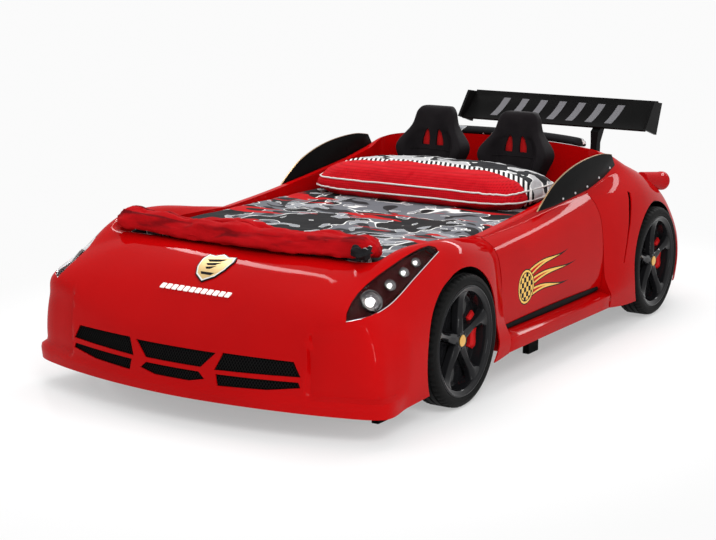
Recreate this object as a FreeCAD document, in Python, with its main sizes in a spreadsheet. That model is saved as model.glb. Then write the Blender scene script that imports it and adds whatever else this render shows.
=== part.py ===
"""Racing-car bed for children: a moulded car body on a boarded bed frame, with wheels,
lamps, spoiler and bedding. Millimetres, +Z up, nose at -Y, the car's left side at +X.
The origin is on the floor, below the middle of the whole bed."""

import FreeCAD
import Part
import Sketcher
import math
import os

V = FreeCAD.Vector
UP = V(0, 0, 1)
AHEAD = V(0, -1, 0)

# Driving sizes. Each name is a cell of the sheet; the objects are bound to the cells.
SIZES = {
    "mattress_length": 1500,
    "mattress_width": 900,
    "mattress_thickness": 140,
    "mattress_clearance": 5,
    "rim_height": 450,
    "rim_above_mattress": 20,
    "nose_length": 345,
    "tail_length": 665,
    "body_overhang": 145,
    "body_wall": 4,
    "seam_gap": 1.5,
    "front_seam_from_well": 550,
    "rear_seam_from_well": 215,
    "board_thickness": 22,
    "board_bottom": 70,
    "board_top": 398,
    "tail_board_from_well": 400,
    "ledger_width": 30,
    "ledger_height": 40,
    "slat_width": 70,
    "slat_thickness": 16,
    "slat_count": 10,
    "foot_length": 70,
    "bolt_diameter": 8,
    "bolt_head_diameter": 16,
    "bolt_head_height": 5,
    "wheel_diameter": 390,
    "wheel_lift": 2,
    "tyre_width": 90,
    "rim_diameter": 326,
    "front_axle_from_well": 258,
    "rear_axle_from_well": 184,
    "arch_gap": 20,
    "spoke_count": 5,
    "spoke_width": 34,
    "hub_diameter": 78,
    "cap_diameter": 34,
    "window_thickness": 4,
    "window_height": 118,
    "wing_half_span": 392,
    "wing_thickness": 14,
    "end_plate_thickness": 10,
    "pylon_offset": 190,
    "seat_width": 306,
    "seat_height": 285,
    "seat_offset": 168,
    "duvet_thickness": 24,
    "pillow_width": 800,
    "pillow_depth": 390,
    "pillow_height": 112,
    "soft_gap": 0.3,
}

doc = FreeCAD.newDocument("car_bed")
sheet = doc.addObject("Spreadsheet::Sheet", "Sizes")
for row, (alias, value) in enumerate(SIZES.items(), start=1):
    sheet.set("A%d" % row, alias)
    sheet.set("B%d" % row, str(value))
    sheet.setAlias("B%d" % row, alias)
doc.recompute()


def size(alias):
    """A driving size as a plain number."""
    return float(getattr(sheet, alias))


WALL = size("body_wall")
SOFT = size("soft_gap")
HALF_WELL = size("mattress_width") / 2 + size("mattress_clearance")
WELL_LENGTH = size("mattress_length") + 2 * size("mattress_clearance")
NOSE_Y = -(size("nose_length") + WELL_LENGTH + size("tail_length")) / 2
WELL_FRONT = NOSE_Y + size("nose_length")
WELL_REAR = WELL_FRONT + WELL_LENGTH
FRONT_SEAM = WELL_FRONT + size("front_seam_from_well")
REAR_SEAM = WELL_REAR - size("rear_seam_from_well")
FRONT_AXLE = WELL_FRONT + size("front_axle_from_well")
REAR_AXLE = WELL_REAR + size("rear_axle_from_well")
BOARD = size("board_thickness")
BOARD_OUT = HALF_WELL + BOARD
BODY_HALF = HALF_WELL + size("body_overhang")
MATTRESS_TOP = size("rim_height") - size("rim_above_mattress")
SLAT_TOP = MATTRESS_TOP - size("mattress_thickness")
WHEEL_R = size("wheel_diameter") / 2
AXLE_Z = WHEEL_R + size("wheel_lift")
ARCH_R = WHEEL_R + size("arch_gap")

# The stations of the body are drawn for this well and rim; other sizes stretch them.
DRAWN_HALF_WELL = 455.0
DRAWN_RIM = 450.0
DRAWN_NOSE = 345.0
DRAWN_FRONT_SEAM = 551.0
DRAWN_REAR_SEAM = 215.0
DRAWN_TAIL = 665.0

parts = []


def keep(obj, label):
    """Names an object, and lists it as a sub-part of its own."""
    obj.Label = label
    parts.append(obj)
    return obj


def feature(label, shape):
    obj = doc.addObject("Part::Feature", label)
    obj.Shape = shape
    return keep(obj, label)


def wide(x):
    """Across: offset outside the well, and in proportion inside it."""
    side = -1 if x < 0 else 1
    reach = abs(x)
    if reach > DRAWN_HALF_WELL:
        return side * (reach + HALF_WELL - DRAWN_HALF_WELL)
    return side * reach * HALF_WELL / DRAWN_HALF_WELL


def tall(z):
    return z * size("rim_height") / DRAWN_RIM


def mirrored_x(shape):
    return shape.mirror(V(0, 0, 0), V(1, 0, 0))


def line(a, b):
    return Part.LineSegment(a, b).toShape()


def polygon(points):
    return Part.makePolygon(list(points) + [points[0]])


def prism(points, way):
    return Part.Face(polygon(points)).extrude(way)


def cylinder(radius, length, base, way):
    return Part.makeCylinder(radius, length, base, way)


# ---------------------------------------------------------------- body surfaces

def between(before, start, end, after):
    """A point midway between two stations, on the smooth curve through all four."""
    return ((start + end) * 9 - before - after) * (1 / 16.0)


def finer(grid, straight):
    """Adds a smooth station between every two, but for some straight ones at either end."""
    result = []
    last = len(grid) - 1
    for i in range(last):
        result.append(grid[i])
        if i < straight or i >= last - straight:
            continue
        middle = []
        for j, point in enumerate(grid[i]):
            after_point = grid[i + 1][j]
            before = grid[i - 1][j] if i else point * 2 - after_point
            after = grid[i + 2][j] if i + 1 < last else after_point * 2 - point
            middle.append(between(before, point, after_point, after))
        result.append(middle)
    result.append(grid[last])
    return result


def outward(grid, i, j):
    """The direction straight out of the wall at a point of the grid."""
    last = len(grid) - 1
    top = len(grid[i]) - 1
    along = grid[min(i + 1, last)][j] - grid[max(i - 1, 0)][j]
    up = grid[i][min(j + 1, top)] - grid[i][max(j - 1, 0)]
    normal = along.cross(up)
    if i in (0, last):
        normal.y = 0
    return normal * (1 / normal.Length)


def facets(start, end):
    """Two flat triangles between matching sides of two rings, folded the short way."""
    a, b = start
    d, c = end
    if (c - a).Length < (d - b).Length:
        corners = ((a, b, c), (a, c, d))
    else:
        corners = ((a, b, d), (b, c, d))
    return [Part.Face(polygon(three)) for three in corners]


def skin(rings):
    """A closed solid of flat facets through rings of equally many points."""
    faces = [Part.Face(polygon(rings[0])), Part.Face(polygon(rings[-1]))]
    for first, second in zip(rings, rings[1:]):
        count = len(first)
        for k in range(count):
            n = (k + 1) % count
            faces += facets((first[k], first[n]), (second[k], second[n]))
    shell = Part.makeShell(faces)
    shell.sewShape()
    solid = Part.makeSolid(shell)
    if solid.Volume < 0:
        solid.reverse()
    return solid


def moulded_wall(grid, thickness, stands=True):
    """A thin wall through the stations, folded at the body's lines. A wall that stands on
    the boards has a level foot along its last line."""
    rings = []
    for i, station in enumerate(grid):
        inside = []
        for j, point in enumerate(station):
            inside.append(point - outward(grid, i, j) * thickness)
        if stands:
            inside[-1].z = station[-1].z
        rings.append(station + inside[::-1])
    return skin(rings)


def stations(rows, y_of):
    """The left side's stations, each closed by the flange that stands on the boards."""
    left = []
    for row in rows:
        station = [V(wide(x), y_of(y), tall(z)) for x, y, z in row]
        rim = station[-1]
        station.append(V(rim.x - wide(4) * rim.x / HALF_WELL, min(rim.y, WELL_REAR + 2),
                         size("board_top")))
        left.append(station)
    return left


def both_sides(left):
    """The left side's stations and their mirror images, round the end of the car."""
    right = []
    for station in left[:-1]:
        right.append([V(-p.x, p.y, p.z) for p in station])
    return left + right[::-1]


# Front of the body. Each station runs from the bottom lip over the wing to the well:
# lip, skirt, waist, lamp edge, shoulder, crest, step foot, step top, rim.
# y is from the well's front.
FRONT_STATIONS = [
    [(592, 551, 100), (596, 551, 146), (570, 551, 205), (557, 551, 320), (543, 551, 392),
     (516, 551, 426), (490, 551, 440), (484, 551, 446), (460, 551, 448)],
    [(596, 445, 92), (602, 445, 148), (590, 445, 215), (584, 445, 335), (562, 445, 415),
     (522, 445, 451), (498, 445, 459), (482, 445, 460), (460, 445, 452)],
    [(598, 265, 88), (604, 265, 158), (602, 265, 250), (597, 265, 365), (573, 265, 446),
     (530, 265, 480), (502, 265, 483), (480, 265, 473), (460, 265, 455)],
    [(600, 65, 85), (606, 65, 165), (604, 65, 255), (590, 65, 345), (562, 65, 422),
     (517, 70, 479), (492, 72, 486), (476, 58, 477), (460, 45, 458)],
    [(602, -95, 80), (606, -95, 165), (602, -95, 262), (575, -95, 332), (545, -85, 385),
     (502, -62, 436), (480, -40, 456), (464, -22, 460), (452, -5, 452)],
    [(600, -195, 78), (600, -205, 165), (586, -207, 265), (552, -205, 335),
     (512, -165, 380), (460, -112, 419), (418, -74, 439), (380, -38, 449), (345, -5, 450)],
    [(502, -250, 80), (508, -256, 165), (499, -254, 258), (478, -251, 325),
     (440, -205, 373), (387, -140, 414), (346, -92, 435), (306, -46, 447), (268, -5, 450)],
    [(350, -296, 83), (352, -301, 155), (349, -293, 228), (341, -281, 292),
     (315, -228, 358), (278, -160, 403), (247, -106, 429), (218, -54, 445), (190, -5, 450)],
    [(180, -328, 85), (180, -331, 148), (178, -320, 210), (175, -304, 266),
     (163, -238, 345), (146, -170, 398), (131, -112, 427), (115, -56, 444), (100, -5, 450)],
    [(0, -339, 85), (0, -342, 146), (0, -330, 205), (0, -311, 258), (0, -243, 340),
     (0, -173, 396), (0, -114, 426), (0, -57, 444), (0, -5, 450)],
]

# Rear of the body, in the same order of lines. y is from the well's rear.
REAR_STATIONS = [
    [(594, -215, 100), (598, -215, 146), (572, -215, 205), (561, -215, 330),
     (548, -215, 410), (521, -215, 460), (492, -215, 490), (486, -215, 524),
     (460, -215, 526)],
    [(600, -85, 88), (604, -85, 155), (596, -85, 230), (585, -85, 345), (562, -85, 430),
     (529, -85, 484), (494, -78, 518), (486, -66, 552), (460, -55, 556)],
    [(600, 110, 85), (606, 110, 160), (604, 110, 260), (592, 110, 375), (566, 115, 452),
     (527, 110, 502), (496, 70, 542), (476, 30, 578), (455, 5, 584)],
    [(598, 320, 90), (604, 320, 165), (598, 325, 262), (573, 320, 352), (541, 310, 425),
     (497, 275, 484), (462, 180, 534), (432, 80, 582), (400, 14, 602)],
    [(560, 455, 100), (566, 462, 170), (556, 465, 262), (524, 452, 358), (482, 425, 428),
     (422, 360, 490), (384, 250, 538), (350, 120, 590), (318, 22, 612)],
    [(440, 525, 108), (446, 532, 175), (436, 530, 272), (412, 515, 370), (368, 480, 440),
     (308, 400, 504), (274, 278, 548), (244, 140, 596), (214, 30, 618)],
    [(230, 552, 112), (232, 558, 178), (228, 552, 278), (216, 535, 382), (192, 500, 450),
     (158, 412, 515), (140, 290, 554), (124, 148, 599), (108, 37, 621)],
    [(0, 560, 115), (0, 564, 180), (0, 556, 280), (0, 540, 385), (0, 505, 455),
     (0, 416, 520), (0, 294, 558), (0, 150, 600), (0, 40, 622)],
]

# Side panel between the two seams: the same lines, above the door's bottom edge.
# The second number is the share of the way from the front seam to the rear one.
SIDE_STATIONS = [
    [(556, 0, 170), (559, 0, 240), (557, 0, 320), (543, 0, 392),
     (516, 0, 426), (490, 0, 440), (484, 0, 446), (460, 0, 448)],
    [(555, 0.33, 169), (558, 0.33, 240), (556, 0.33, 322), (544, 0.33, 397),
     (518, 0.33, 434), (490, 0.33, 450), (485, 0.33, 466), (460, 0.33, 468)],
    [(555, 0.67, 168), (559, 0.67, 240), (557, 0.67, 325), (546, 0.67, 403),
     (520, 0.67, 447), (491, 0.67, 470), (486, 0.67, 494), (460, 0.67, 496)],
    [(557, 1, 167), (562, 1, 240), (561, 1, 330), (548, 1, 410),
     (521, 1, 460), (492, 1, 490), (486, 1, 524), (460, 1, 526)],
]

# Sill below the door: lip, skirt, top and back edge.
SILL_STATIONS = [
    [(592, 0, 100), (597, 0, 144), (566, 0, 158), (530, 0, 158)],
    [(594, 0.33, 102), (600, 0.33, 143), (566, 0.33, 158), (530, 0.33, 158)],
    [(594, 0.67, 101), (601, 0.67, 143), (567, 0.67, 157), (530, 0.67, 157)],
    [(594, 1, 100), (598, 1, 144), (568, 1, 156), (530, 1, 156)],
]


def from_front(y):
    """A place drawn from the well's front, stretched to the nose or to the front seam."""
    if y < 0:
        return WELL_FRONT + y * size("nose_length") / DRAWN_NOSE
    reach = size("front_seam_from_well") - size("seam_gap") / 2
    return WELL_FRONT + y * reach / DRAWN_FRONT_SEAM


def from_rear(y):
    """A place drawn from the well's rear, stretched to the rear seam or to the tail."""
    if y < 0:
        reach = size("rear_seam_from_well") - size("seam_gap") / 2
        return WELL_REAR + y * reach / DRAWN_REAR_SEAM
    return WELL_REAR + y * size("tail_length") / DRAWN_TAIL


def between_seams(share):
    """A place along the side panel, which stops half a gap short of either seam."""
    gap = size("seam_gap") / 2
    return FRONT_SEAM + gap + share * (REAR_SEAM - FRONT_SEAM - 2 * gap)


def wheel_arch(axle_y):
    """The round opening for a pair of wheels, right across the body."""
    return cylinder(ARCH_R, 2 * BODY_HALF + 100, V(-BODY_HALF - 50, axle_y, AXLE_Z), V(1, 0, 0))


# ------------------------------------------------------------- construction helpers

def origin_plane(body, role):
    for item in body.Origin.OriginFeatures:
        if item.Role == role:
            return item
    raise ValueError(role)


def outline_sketch(body, name, role, points, offset=0):
    """A closed outline of straight lines on one of the body's origin planes."""
    sketch = body.newObject("Sketcher::SketchObject", name)
    sketch.AttachmentSupport = [(origin_plane(body, role), "")]
    sketch.MapMode = "FlatFace"
    sketch.AttachmentOffset = FreeCAD.Placement(V(0, 0, offset), FreeCAD.Rotation())
    corners = [V(a, b, 0) for a, b in points]
    count = len(corners)
    for k in range(count):
        sketch.addGeometry(Part.LineSegment(corners[k], corners[(k + 1) % count]))
    for k in range(count):
        sketch.addConstraint(Sketcher.Constraint("Coincident", k, 2, (k + 1) % count, 1))
    return sketch


def new_body(label):
    body = doc.addObject("PartDesign::Body", label)
    return keep(body, label)


def box(label, length, width, height, base):
    """A plain board. Its three sizes are expressions on the sheet, its base a place."""
    item = doc.addObject("Part::Box", label)
    item.setExpression("Length", length)
    item.setExpression("Width", width)
    item.setExpression("Height", height)
    item.Placement.Base = base
    return keep(item, label)


def group(shapes):
    return Part.makeCompound(shapes)


def flat_outline(points, way):
    """Points moved along a direction into the plane across it."""
    middle = V(0, 0, 0)
    for point in points:
        middle = middle + point * (1.0 / len(points))
    return [point - way * (point - middle).dot(way) for point in points]


def shrunk(points, margin):
    """A flat outline with every corner drawn in towards the middle by about a margin."""
    middle = V(0, 0, 0)
    for point in points:
        middle = middle + point * (1.0 / len(points))
    result = []
    for point in points:
        reach = (point - middle).Length
        result.append(middle + (point - middle) * ((reach - margin) / reach))
    return result


def punch(points, way, reach):
    """A straight cutter along a direction, through an outline drawn on the body."""
    flat = [p - way * reach for p in flat_outline(points, way)]
    return prism(flat, way * (2 * reach))


def largest(shape):
    """Of the pieces that a cut left, the largest."""
    return max(shape.Solids, key=lambda solid: solid.Volume)


def outer_solid(shape, way):
    """Of the pieces that a cut left, the one furthest out."""
    return max(shape.Solids, key=lambda solid: solid.CenterOfMass.dot(way))


# ------------------------------------------------------------------------ bed frame

TAIL_BOARD_Y = WELL_REAR + size("tail_board_from_well")
BOARD_HEIGHT = size("board_top") - size("board_bottom")
SIDE_BOARD_FRONT = WELL_FRONT - BOARD
SIDE_BOARD_REAR = TAIL_BOARD_Y + BOARD
BOLT_Z = (size("board_bottom") + size("board_top")) / 2
BOLT_ROWS = (WELL_FRONT - BOARD / 2, TAIL_BOARD_Y + BOARD / 2)


def side_board(label, side):
    """A long side board, bored for the bolts of the foot board and the tail board."""
    body = new_body(label)
    low = size("board_bottom")
    high = size("board_top")
    outline = [(SIDE_BOARD_FRONT, low), (SIDE_BOARD_REAR, low),
               (SIDE_BOARD_REAR, high), (SIDE_BOARD_FRONT, high)]
    inner_x = HALF_WELL if side > 0 else -BOARD_OUT
    sketch = outline_sketch(body, label + "_outline", "YZ_Plane", outline, inner_x)
    pad = body.newObject("PartDesign::Pad", label + "_pad")
    pad.Profile = sketch
    pad.setExpression("Length", "Sizes.board_thickness")
    doc.recompute()
    holes = body.newObject("Sketcher::SketchObject", label + "_holes")
    holes.AttachmentSupport = [(origin_plane(body, "YZ_Plane"), "")]
    holes.MapMode = "FlatFace"
    holes.AttachmentOffset = FreeCAD.Placement(V(0, 0, inner_x), FreeCAD.Rotation())
    for y in BOLT_ROWS:
        holes.addGeometry(Part.Circle(V(y, BOLT_Z, 0), V(0, 0, 1), size("bolt_diameter") / 2))
    pocket = body.newObject("PartDesign::Pocket", label + "_bores")
    pocket.Profile = holes
    pocket.Type = 1
    pocket.Reversed = True
    return body


def frame_bolt(side, y, z):
    """A bolt through the side board, its hexagon head outside."""
    way = V(side, 0, 0)
    radius = size("bolt_head_diameter") / 2
    corners = []
    for k in range(6):
        angle = k * math.pi / 3
        corners.append(V(side * BOARD_OUT, y + radius * math.cos(angle),
                         z + radius * math.sin(angle)))
    head = prism(corners, way * size("bolt_head_height"))
    shank = cylinder(size("bolt_diameter") / 2 - 0.2, BOARD,
                     V(side * HALF_WELL, y, z), way)
    return head.fuse(shank)


def make_frame():
    side_board("side_board_left", 1)
    side_board("side_board_right", -1)
    across = "Sizes.mattress_width + 2 * Sizes.mattress_clearance"
    rise = "Sizes.board_top - Sizes.board_bottom"
    low = size("board_bottom")
    box("foot_board", across, "Sizes.board_thickness", rise,
        V(-HALF_WELL, WELL_FRONT - BOARD, low))
    box("head_board", across, "Sizes.board_thickness", rise,
        V(-HALF_WELL, WELL_REAR, low))
    box("tail_board", across, "Sizes.board_thickness", rise,
        V(-HALF_WELL, TAIL_BOARD_Y, low))
    ledger_z = SLAT_TOP - size("slat_thickness") - size("ledger_height")
    for label, x in (("slat_ledger_left", HALF_WELL - size("ledger_width")),
                     ("slat_ledger_right", -HALF_WELL)):
        box(label, "Sizes.ledger_width",
            "Sizes.mattress_length + 2 * Sizes.mattress_clearance",
            "Sizes.ledger_height", V(x, WELL_FRONT, ledger_z))
    slats = []
    count = int(size("slat_count"))
    pitch = (WELL_LENGTH - size("slat_width")) / (count - 1)
    for k in range(count):
        base = V(-HALF_WELL + 2, WELL_FRONT + k * pitch, SLAT_TOP - size("slat_thickness"))
        slats.append(Part.makeBox(2 * HALF_WELL - 4, size("slat_width"),
                                  size("slat_thickness"), base))
    feature("slats", group(slats))
    feet = []
    length = size("foot_length")
    for y in (SIDE_BOARD_FRONT, (SIDE_BOARD_FRONT + SIDE_BOARD_REAR - length) / 2,
              SIDE_BOARD_REAR - length):
        for x in (HALF_WELL, -BOARD_OUT):
            feet.append(Part.makeBox(BOARD, length, size("board_bottom"), V(x, y, 0)))
    feature("bed_feet", group(feet))
    bolts = []
    for side in (1, -1):
        for y in BOLT_ROWS:
            bolts.append(frame_bolt(side, y, BOLT_Z))
    feature("frame_bolts", group(bolts))


# --------------------------------------------------------------------- moulded body

# Openings of the front, as (x, z) outlines; the outer two repeat on the other side.
GRILLE_CENTRE = [(-140, 220), (140, 220), (96, 176), (-96, 176)]
GRILLE_OUTER = [(162, 223), (374, 222), (396, 182), (140, 174)]
INTAKE_CENTRE = [(-92, 164), (92, 164), (112, 146), (60, 134), (-60, 134), (-112, 146)]
INTAKE_OUTER = [(146, 164), (390, 168), (396, 153), (300, 138), (152, 132)]

# The headlamp's outline on the left wing, from its lower tip round by its inner edge.
LAMP_OUTLINE = [(503, -236, 338), (490, -186, 381), (489, -110, 416), (508, -29, 450),
                (521, 69, 477), (528, 160, 486), (547, 178, 466), (557, 100, 446),
                (559, 10, 412), (557, -92, 369), (544, -182, 348)]
LAMP_WAY = V(0.74, -0.38, 0.555)

# Lamps behind the lens: place on the lens and radius.
LAMP_BOWLS = [((527, -138, 384), 34), ((534, -52, 414), 20), ((537, 40, 447), 16)]

# Slot ahead of the rear wheel, as (y, z).
VENT = [(-106, 238), (-99, 236), (-62, 330), (-20, 404), (16, 462), (2, 470), (-34, 414),
        (-70, 334)]

# A shield outline as (x, up the hood), and where things sit on the hood as (y, z).
SHIELD = [(0, -70), (34, -46), (50, -14), (56, 26), (48, 50), (24, 46), (0, 60),
          (-24, 46), (-48, 50), (-56, 26), (-50, -14), (-34, -46)]
BADGE_PLACE = (-140, 412)
LED_PLACE = (-226, 358)
LED_COUNT = 12
LED_PITCH = 20.5
HOOD_WAY = V(0, -0.56, 0.83)
GRILLE_BACKING = [(-400, 228), (400, 228), (400, 130), (-400, 130)]

LAMP_REACH = 62
LAMP_DEPTH = 26
LENS_GAP = 0.4
BOWL_GAP = 6
TUB_WALL = 3

# Side window: two arcs from its front tip over its top, then its foot back to the tip.
WINDOW_X = 494.6
WINDOW_OUTLINE = [(-604, 474), (-372, 583), (-110, 607), (-25, 596), (6, 556),
                  (-85, 525), (-215, 498), (-350, 486), (-480, 476)]

POD_PLACE = (448, 330, 468)
POD_RADIUS = 27
POD_LENGTH = 190

# How far the wheel's parts lie in from the tyre's outer side.
RIM_FACE_DEPTH = 4
RIM_DISH_DEPTH = 50
HUB_FACE_DEPTH = 18

PANEL_WIDTH = 74
PANEL_HEIGHT = 44
PANEL_Z = 210
PANEL_LAP = 4
TAIL_FACE = from_rear(558)
ROCKER_X = -16
ROCKER_WIDTH = 18
ROCKER_HEIGHT = 22
ROCKER_PIVOT_DEPTH = 4
ROCKER_TILT = 8
INLET_X = 16

# The spoiler's end plate as (y, z), and its pylon as (half width, y ahead, y behind, z).
END_PLATE = [(507, 626), (619, 596), (665, 714), (589, 725)]
PYLON_RINGS = [(13, 507, 547, 440), (13, 515, 549, 560), (22, 525, 605, 680)]

BOLSTER_HALF = 345
# Across the bolster, as (back from the rim, up from the wall).
BOLSTER_SECTION = [(2, 0), (60, 0), (58, 20), (46, 28), (14, 30), (2, 20)]

CORNER_RADIUS = 45
DUVET_HEM = 12
PILLOW_FROM_WELL = 360
BLANKET_END_LIFT = 13
BLANKET_SECTION = [(-38, 0), (48, 0), (62, 16), (54, 44), (30, 60), (8, 52), (-4, 60),
                   (-28, 52), (-46, 30), (-48, 10)]

SEAT_BACK_FROM_WELL = 60
SEAT_LEAN = 26
# Height share, width share, how far the wings stand forward, and the seat's depth.
SEAT_RINGS = [(0, 0.70, 78, 62), (0.22, 0.80, 84, 56), (0.42, 1.0, 96, 52),
              (0.56, 0.94, 84, 50), (0.74, 0.64, 62, 52), (0.92, 0.56, 56, 54),
              (1.0, 0.42, 44, 46)]
SLOT_DEPTH = 8
SEAT_SLOT = [(14, 0.50), (36, 0.50), (33, 0.64), (24, 0.71), (16, 0.66)]


def lamp_points():
    return [V(wide(x), from_front(y), tall(z)) for x, y, z in LAMP_OUTLINE]


def unit(vector):
    return vector * (1 / vector.Length)


def front_openings():
    cutters = []
    shapes = [GRILLE_CENTRE, GRILLE_OUTER, INTAKE_CENTRE, INTAKE_OUTER]
    shapes += [[(-x, z) for x, z in GRILLE_OUTER], [(-x, z) for x, z in INTAKE_OUTER]]
    start = NOSE_Y - 20
    depth = size("nose_length") / 2
    for outline in shapes:
        points = [V(wide(x), start, tall(z)) for x, z in outline]
        cutters.append(prism(points, V(0, depth, 0)))
    return cutters


def middle_piece(shape, cutters, way, level):
    """Of the pieces that the cutters leave, the one whose middle lies nearest a level."""
    pieces = shape.cut(cutters).Solids
    return min(pieces, key=lambda solid: abs(solid.CenterOfMass.dot(way) - level))


def make_headlamps(wall):
    """Lens flush in the wing, a tub behind it and round lamps in the tub."""
    way = unit(LAMP_WAY)
    flat = flat_outline(lamp_points(), way)
    slab = largest(wall.common(punch(flat, way, LAMP_REACH)))
    lens = largest(wall.common(punch(shrunk(flat, LENS_GAP), way, LAMP_REACH)))
    under_lens = slab.copy()
    under_lens.translate(way * -LENS_GAP)
    back = slab.copy()
    back.translate(way * -(WALL + LAMP_DEPTH))
    level = slab.CenterOfMass.dot(way) - (WALL + LAMP_DEPTH) / 2
    ring = punch(shrunk(flat, LENS_GAP), way, LAMP_REACH).cut(
        punch(shrunk(flat, LENS_GAP + TUB_WALL), way, LAMP_REACH))
    side_wall = middle_piece(ring, [under_lens, back], way, level)
    floor = back.common(punch(shrunk(flat, LENS_GAP), way, LAMP_REACH))
    tub = side_wall.fuse(floor)
    reflectors = []
    room = punch(shrunk(flat, LENS_GAP + TUB_WALL + 0.1), way, LAMP_REACH)
    over_bowls = slab.copy()
    over_bowls.translate(way * -BOWL_GAP)
    for (x, y, z), radius in LAMP_BOWLS:
        place = V(wide(x), from_front(y), tall(z))
        start = place - way * (WALL + LAMP_DEPTH * 2)
        level = place.dot(way) - (WALL + LAMP_DEPTH) * 0.7
        bowl = cylinder(radius, LAMP_DEPTH * 3, start, way).common(room)
        reflectors.append(middle_piece(bowl, [over_bowls, back], way, level))
    pieces = (("headlamp_lens_", lens), ("headlamp_housing_", tub),
              ("headlamp_reflectors_", group(reflectors)))
    for name, shape in pieces:
        feature(name + "left", shape)
        feature(name + "right", mirrored_x(shape))


def make_front():
    """The front shell, and the pieces that fill its openings."""
    wall = moulded_wall(finer(both_sides(stations(FRONT_STATIONS, from_front)), 2), WALL)
    lamp_hole = punch(lamp_points(), unit(LAMP_WAY), LAMP_REACH)
    cutters = [wheel_arch(FRONT_AXLE), lamp_hole, mirrored_x(lamp_hole)]
    cutters += front_openings()
    feature("front_shell", largest(wall.cut(cutters)))
    make_headlamps(wall)
    mesh_points = [V(wide(x), NOSE_Y - 20, tall(z)) for x, z in GRILLE_BACKING]
    mesh = largest(wall.common(prism(mesh_points, V(0, size("nose_length") / 2, 0))))
    mesh.translate(V(0, WALL, 0))
    feature("grille_mesh", largest(mesh.cut(wall)))
    tilt = unit(HOOD_WAY)
    leds = []
    half = LED_COUNT / 2.0
    for k in range(LED_COUNT):
        x = (k + 0.5 - half) * LED_PITCH
        middle = V(wide(x), from_front(LED_PLACE[0]), tall(LED_PLACE[1]))
        across = V(LED_PITCH * 0.32, 0, 0)
        rise = tilt.cross(V(1, 0, 0)) * 8 + V(2, 0, 0)
        corners = [middle - across - rise, middle + across - rise,
                   middle + across + rise, middle - across + rise]
        leds.append(raised_plate(wall, corners, tilt))
    feature("hood_leds", group(leds))
    shield = []
    for x, z in SHIELD:
        shield.append(V(x, from_front(BADGE_PLACE[0]), tall(BADGE_PLACE[1])) +
                      tilt.cross(V(1, 0, 0)) * z)
    feature("hood_badge", raised_plate(wall, shield, tilt))


def raised_plate(wall, points, way):
    """A plate that lies on the wall, with the wall's own shape."""
    plate = largest(wall.common(punch(points, way, 30)))
    plate.translate(way * (WALL + 0.2))
    return plate


def make_sides():
    """Door panel, sill and the black batten between them, on either side."""
    panel = moulded_wall(stations(SIDE_STATIONS, between_seams), WALL)
    sill_grid = []
    for row in SILL_STATIONS:
        sill_grid.append([V(wide(x), between_seams(y), tall(z)) for x, y, z in row])
    sill = moulded_wall(sill_grid, WALL, stands=False)
    start = between_seams(0)
    batten = Part.makeBox(wide(549) - BOARD_OUT, between_seams(1) - start, tall(9),
                          V(BOARD_OUT, start, tall(158.3)))
    for name, shape in (("side_panel_", panel), ("sill_", sill), ("sill_batten_", batten)):
        feature(name + "left", shape)
        feature(name + "right", mirrored_x(shape))


def make_windows():
    """A black window standing on the outside of the raised rim, on either side."""
    points = [V(wide(WINDOW_X), from_rear(y), tall(z)) for y, z in WINDOW_OUTLINE]
    edges = [Part.Arc(points[0], points[1], points[2]).toShape(),
             Part.Arc(points[2], points[3], points[4]).toShape()]
    edges += [line(a, b) for a, b in zip(points[4:], points[5:] + points[:1])]
    pane = Part.Face(Part.Wire(edges)).extrude(V(size("window_thickness"), 0, 0))
    feature("side_window_left", pane)
    feature("side_window_right", mirrored_x(pane))


def make_rear():
    """The rear shell, its lamps, the spoiler on its deck and the switch panel below."""
    grid = finer(both_sides(stations(REAR_STATIONS, from_rear)), 1)
    wall = moulded_wall(grid, WALL)
    vent_points = [V(BODY_HALF + 40, from_rear(y), tall(z)) for y, z in VENT]
    vent = prism(vent_points, V(-130, 0, 0))
    panel_hole = Part.makeBox(PANEL_WIDTH - 2 * PANEL_LAP, 80, PANEL_HEIGHT - 2 * PANEL_LAP,
                              V(PANEL_LAP - PANEL_WIDTH / 2, TAIL_FACE - 40,
                                PANEL_Z + PANEL_LAP))
    cutters = [wheel_arch(REAR_AXLE), vent, mirrored_x(vent), panel_hole]
    feature("rear_shell", largest(wall.cut(cutters)))
    pod_way = unit(V(0.22, 1, -0.12))
    pod_base = V(wide(POD_PLACE[0]), from_rear(POD_PLACE[1]), tall(POD_PLACE[2]))
    pod = cylinder(POD_RADIUS, POD_LENGTH, pod_base, pod_way)
    pod = outer_solid(pod.cut(wall), pod_way)
    feature("tail_lamp_left", pod)
    feature("tail_lamp_right", mirrored_x(pod))
    feature("rear_bolster", bolster(grid))
    power_panel()
    make_spoiler(wall)


def bolster(grid):
    """A padded strip lying on the top of the back wall, behind its rim."""
    rings = []
    for station in grid:
        rim = station[-2]
        if abs(rim.x) > BOLSTER_HALF:
            continue
        back = unit(station[-3] - rim)
        across = V(1, 0, 0) - back * back.x
        rise = unit(back.cross(across))
        if rise.z < 0:
            rise = rise * -1
        rings.append([rim + back * b + rise * (SOFT * 2 + a) for b, a in BOLSTER_SECTION])
    return skin(rings)


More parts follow.
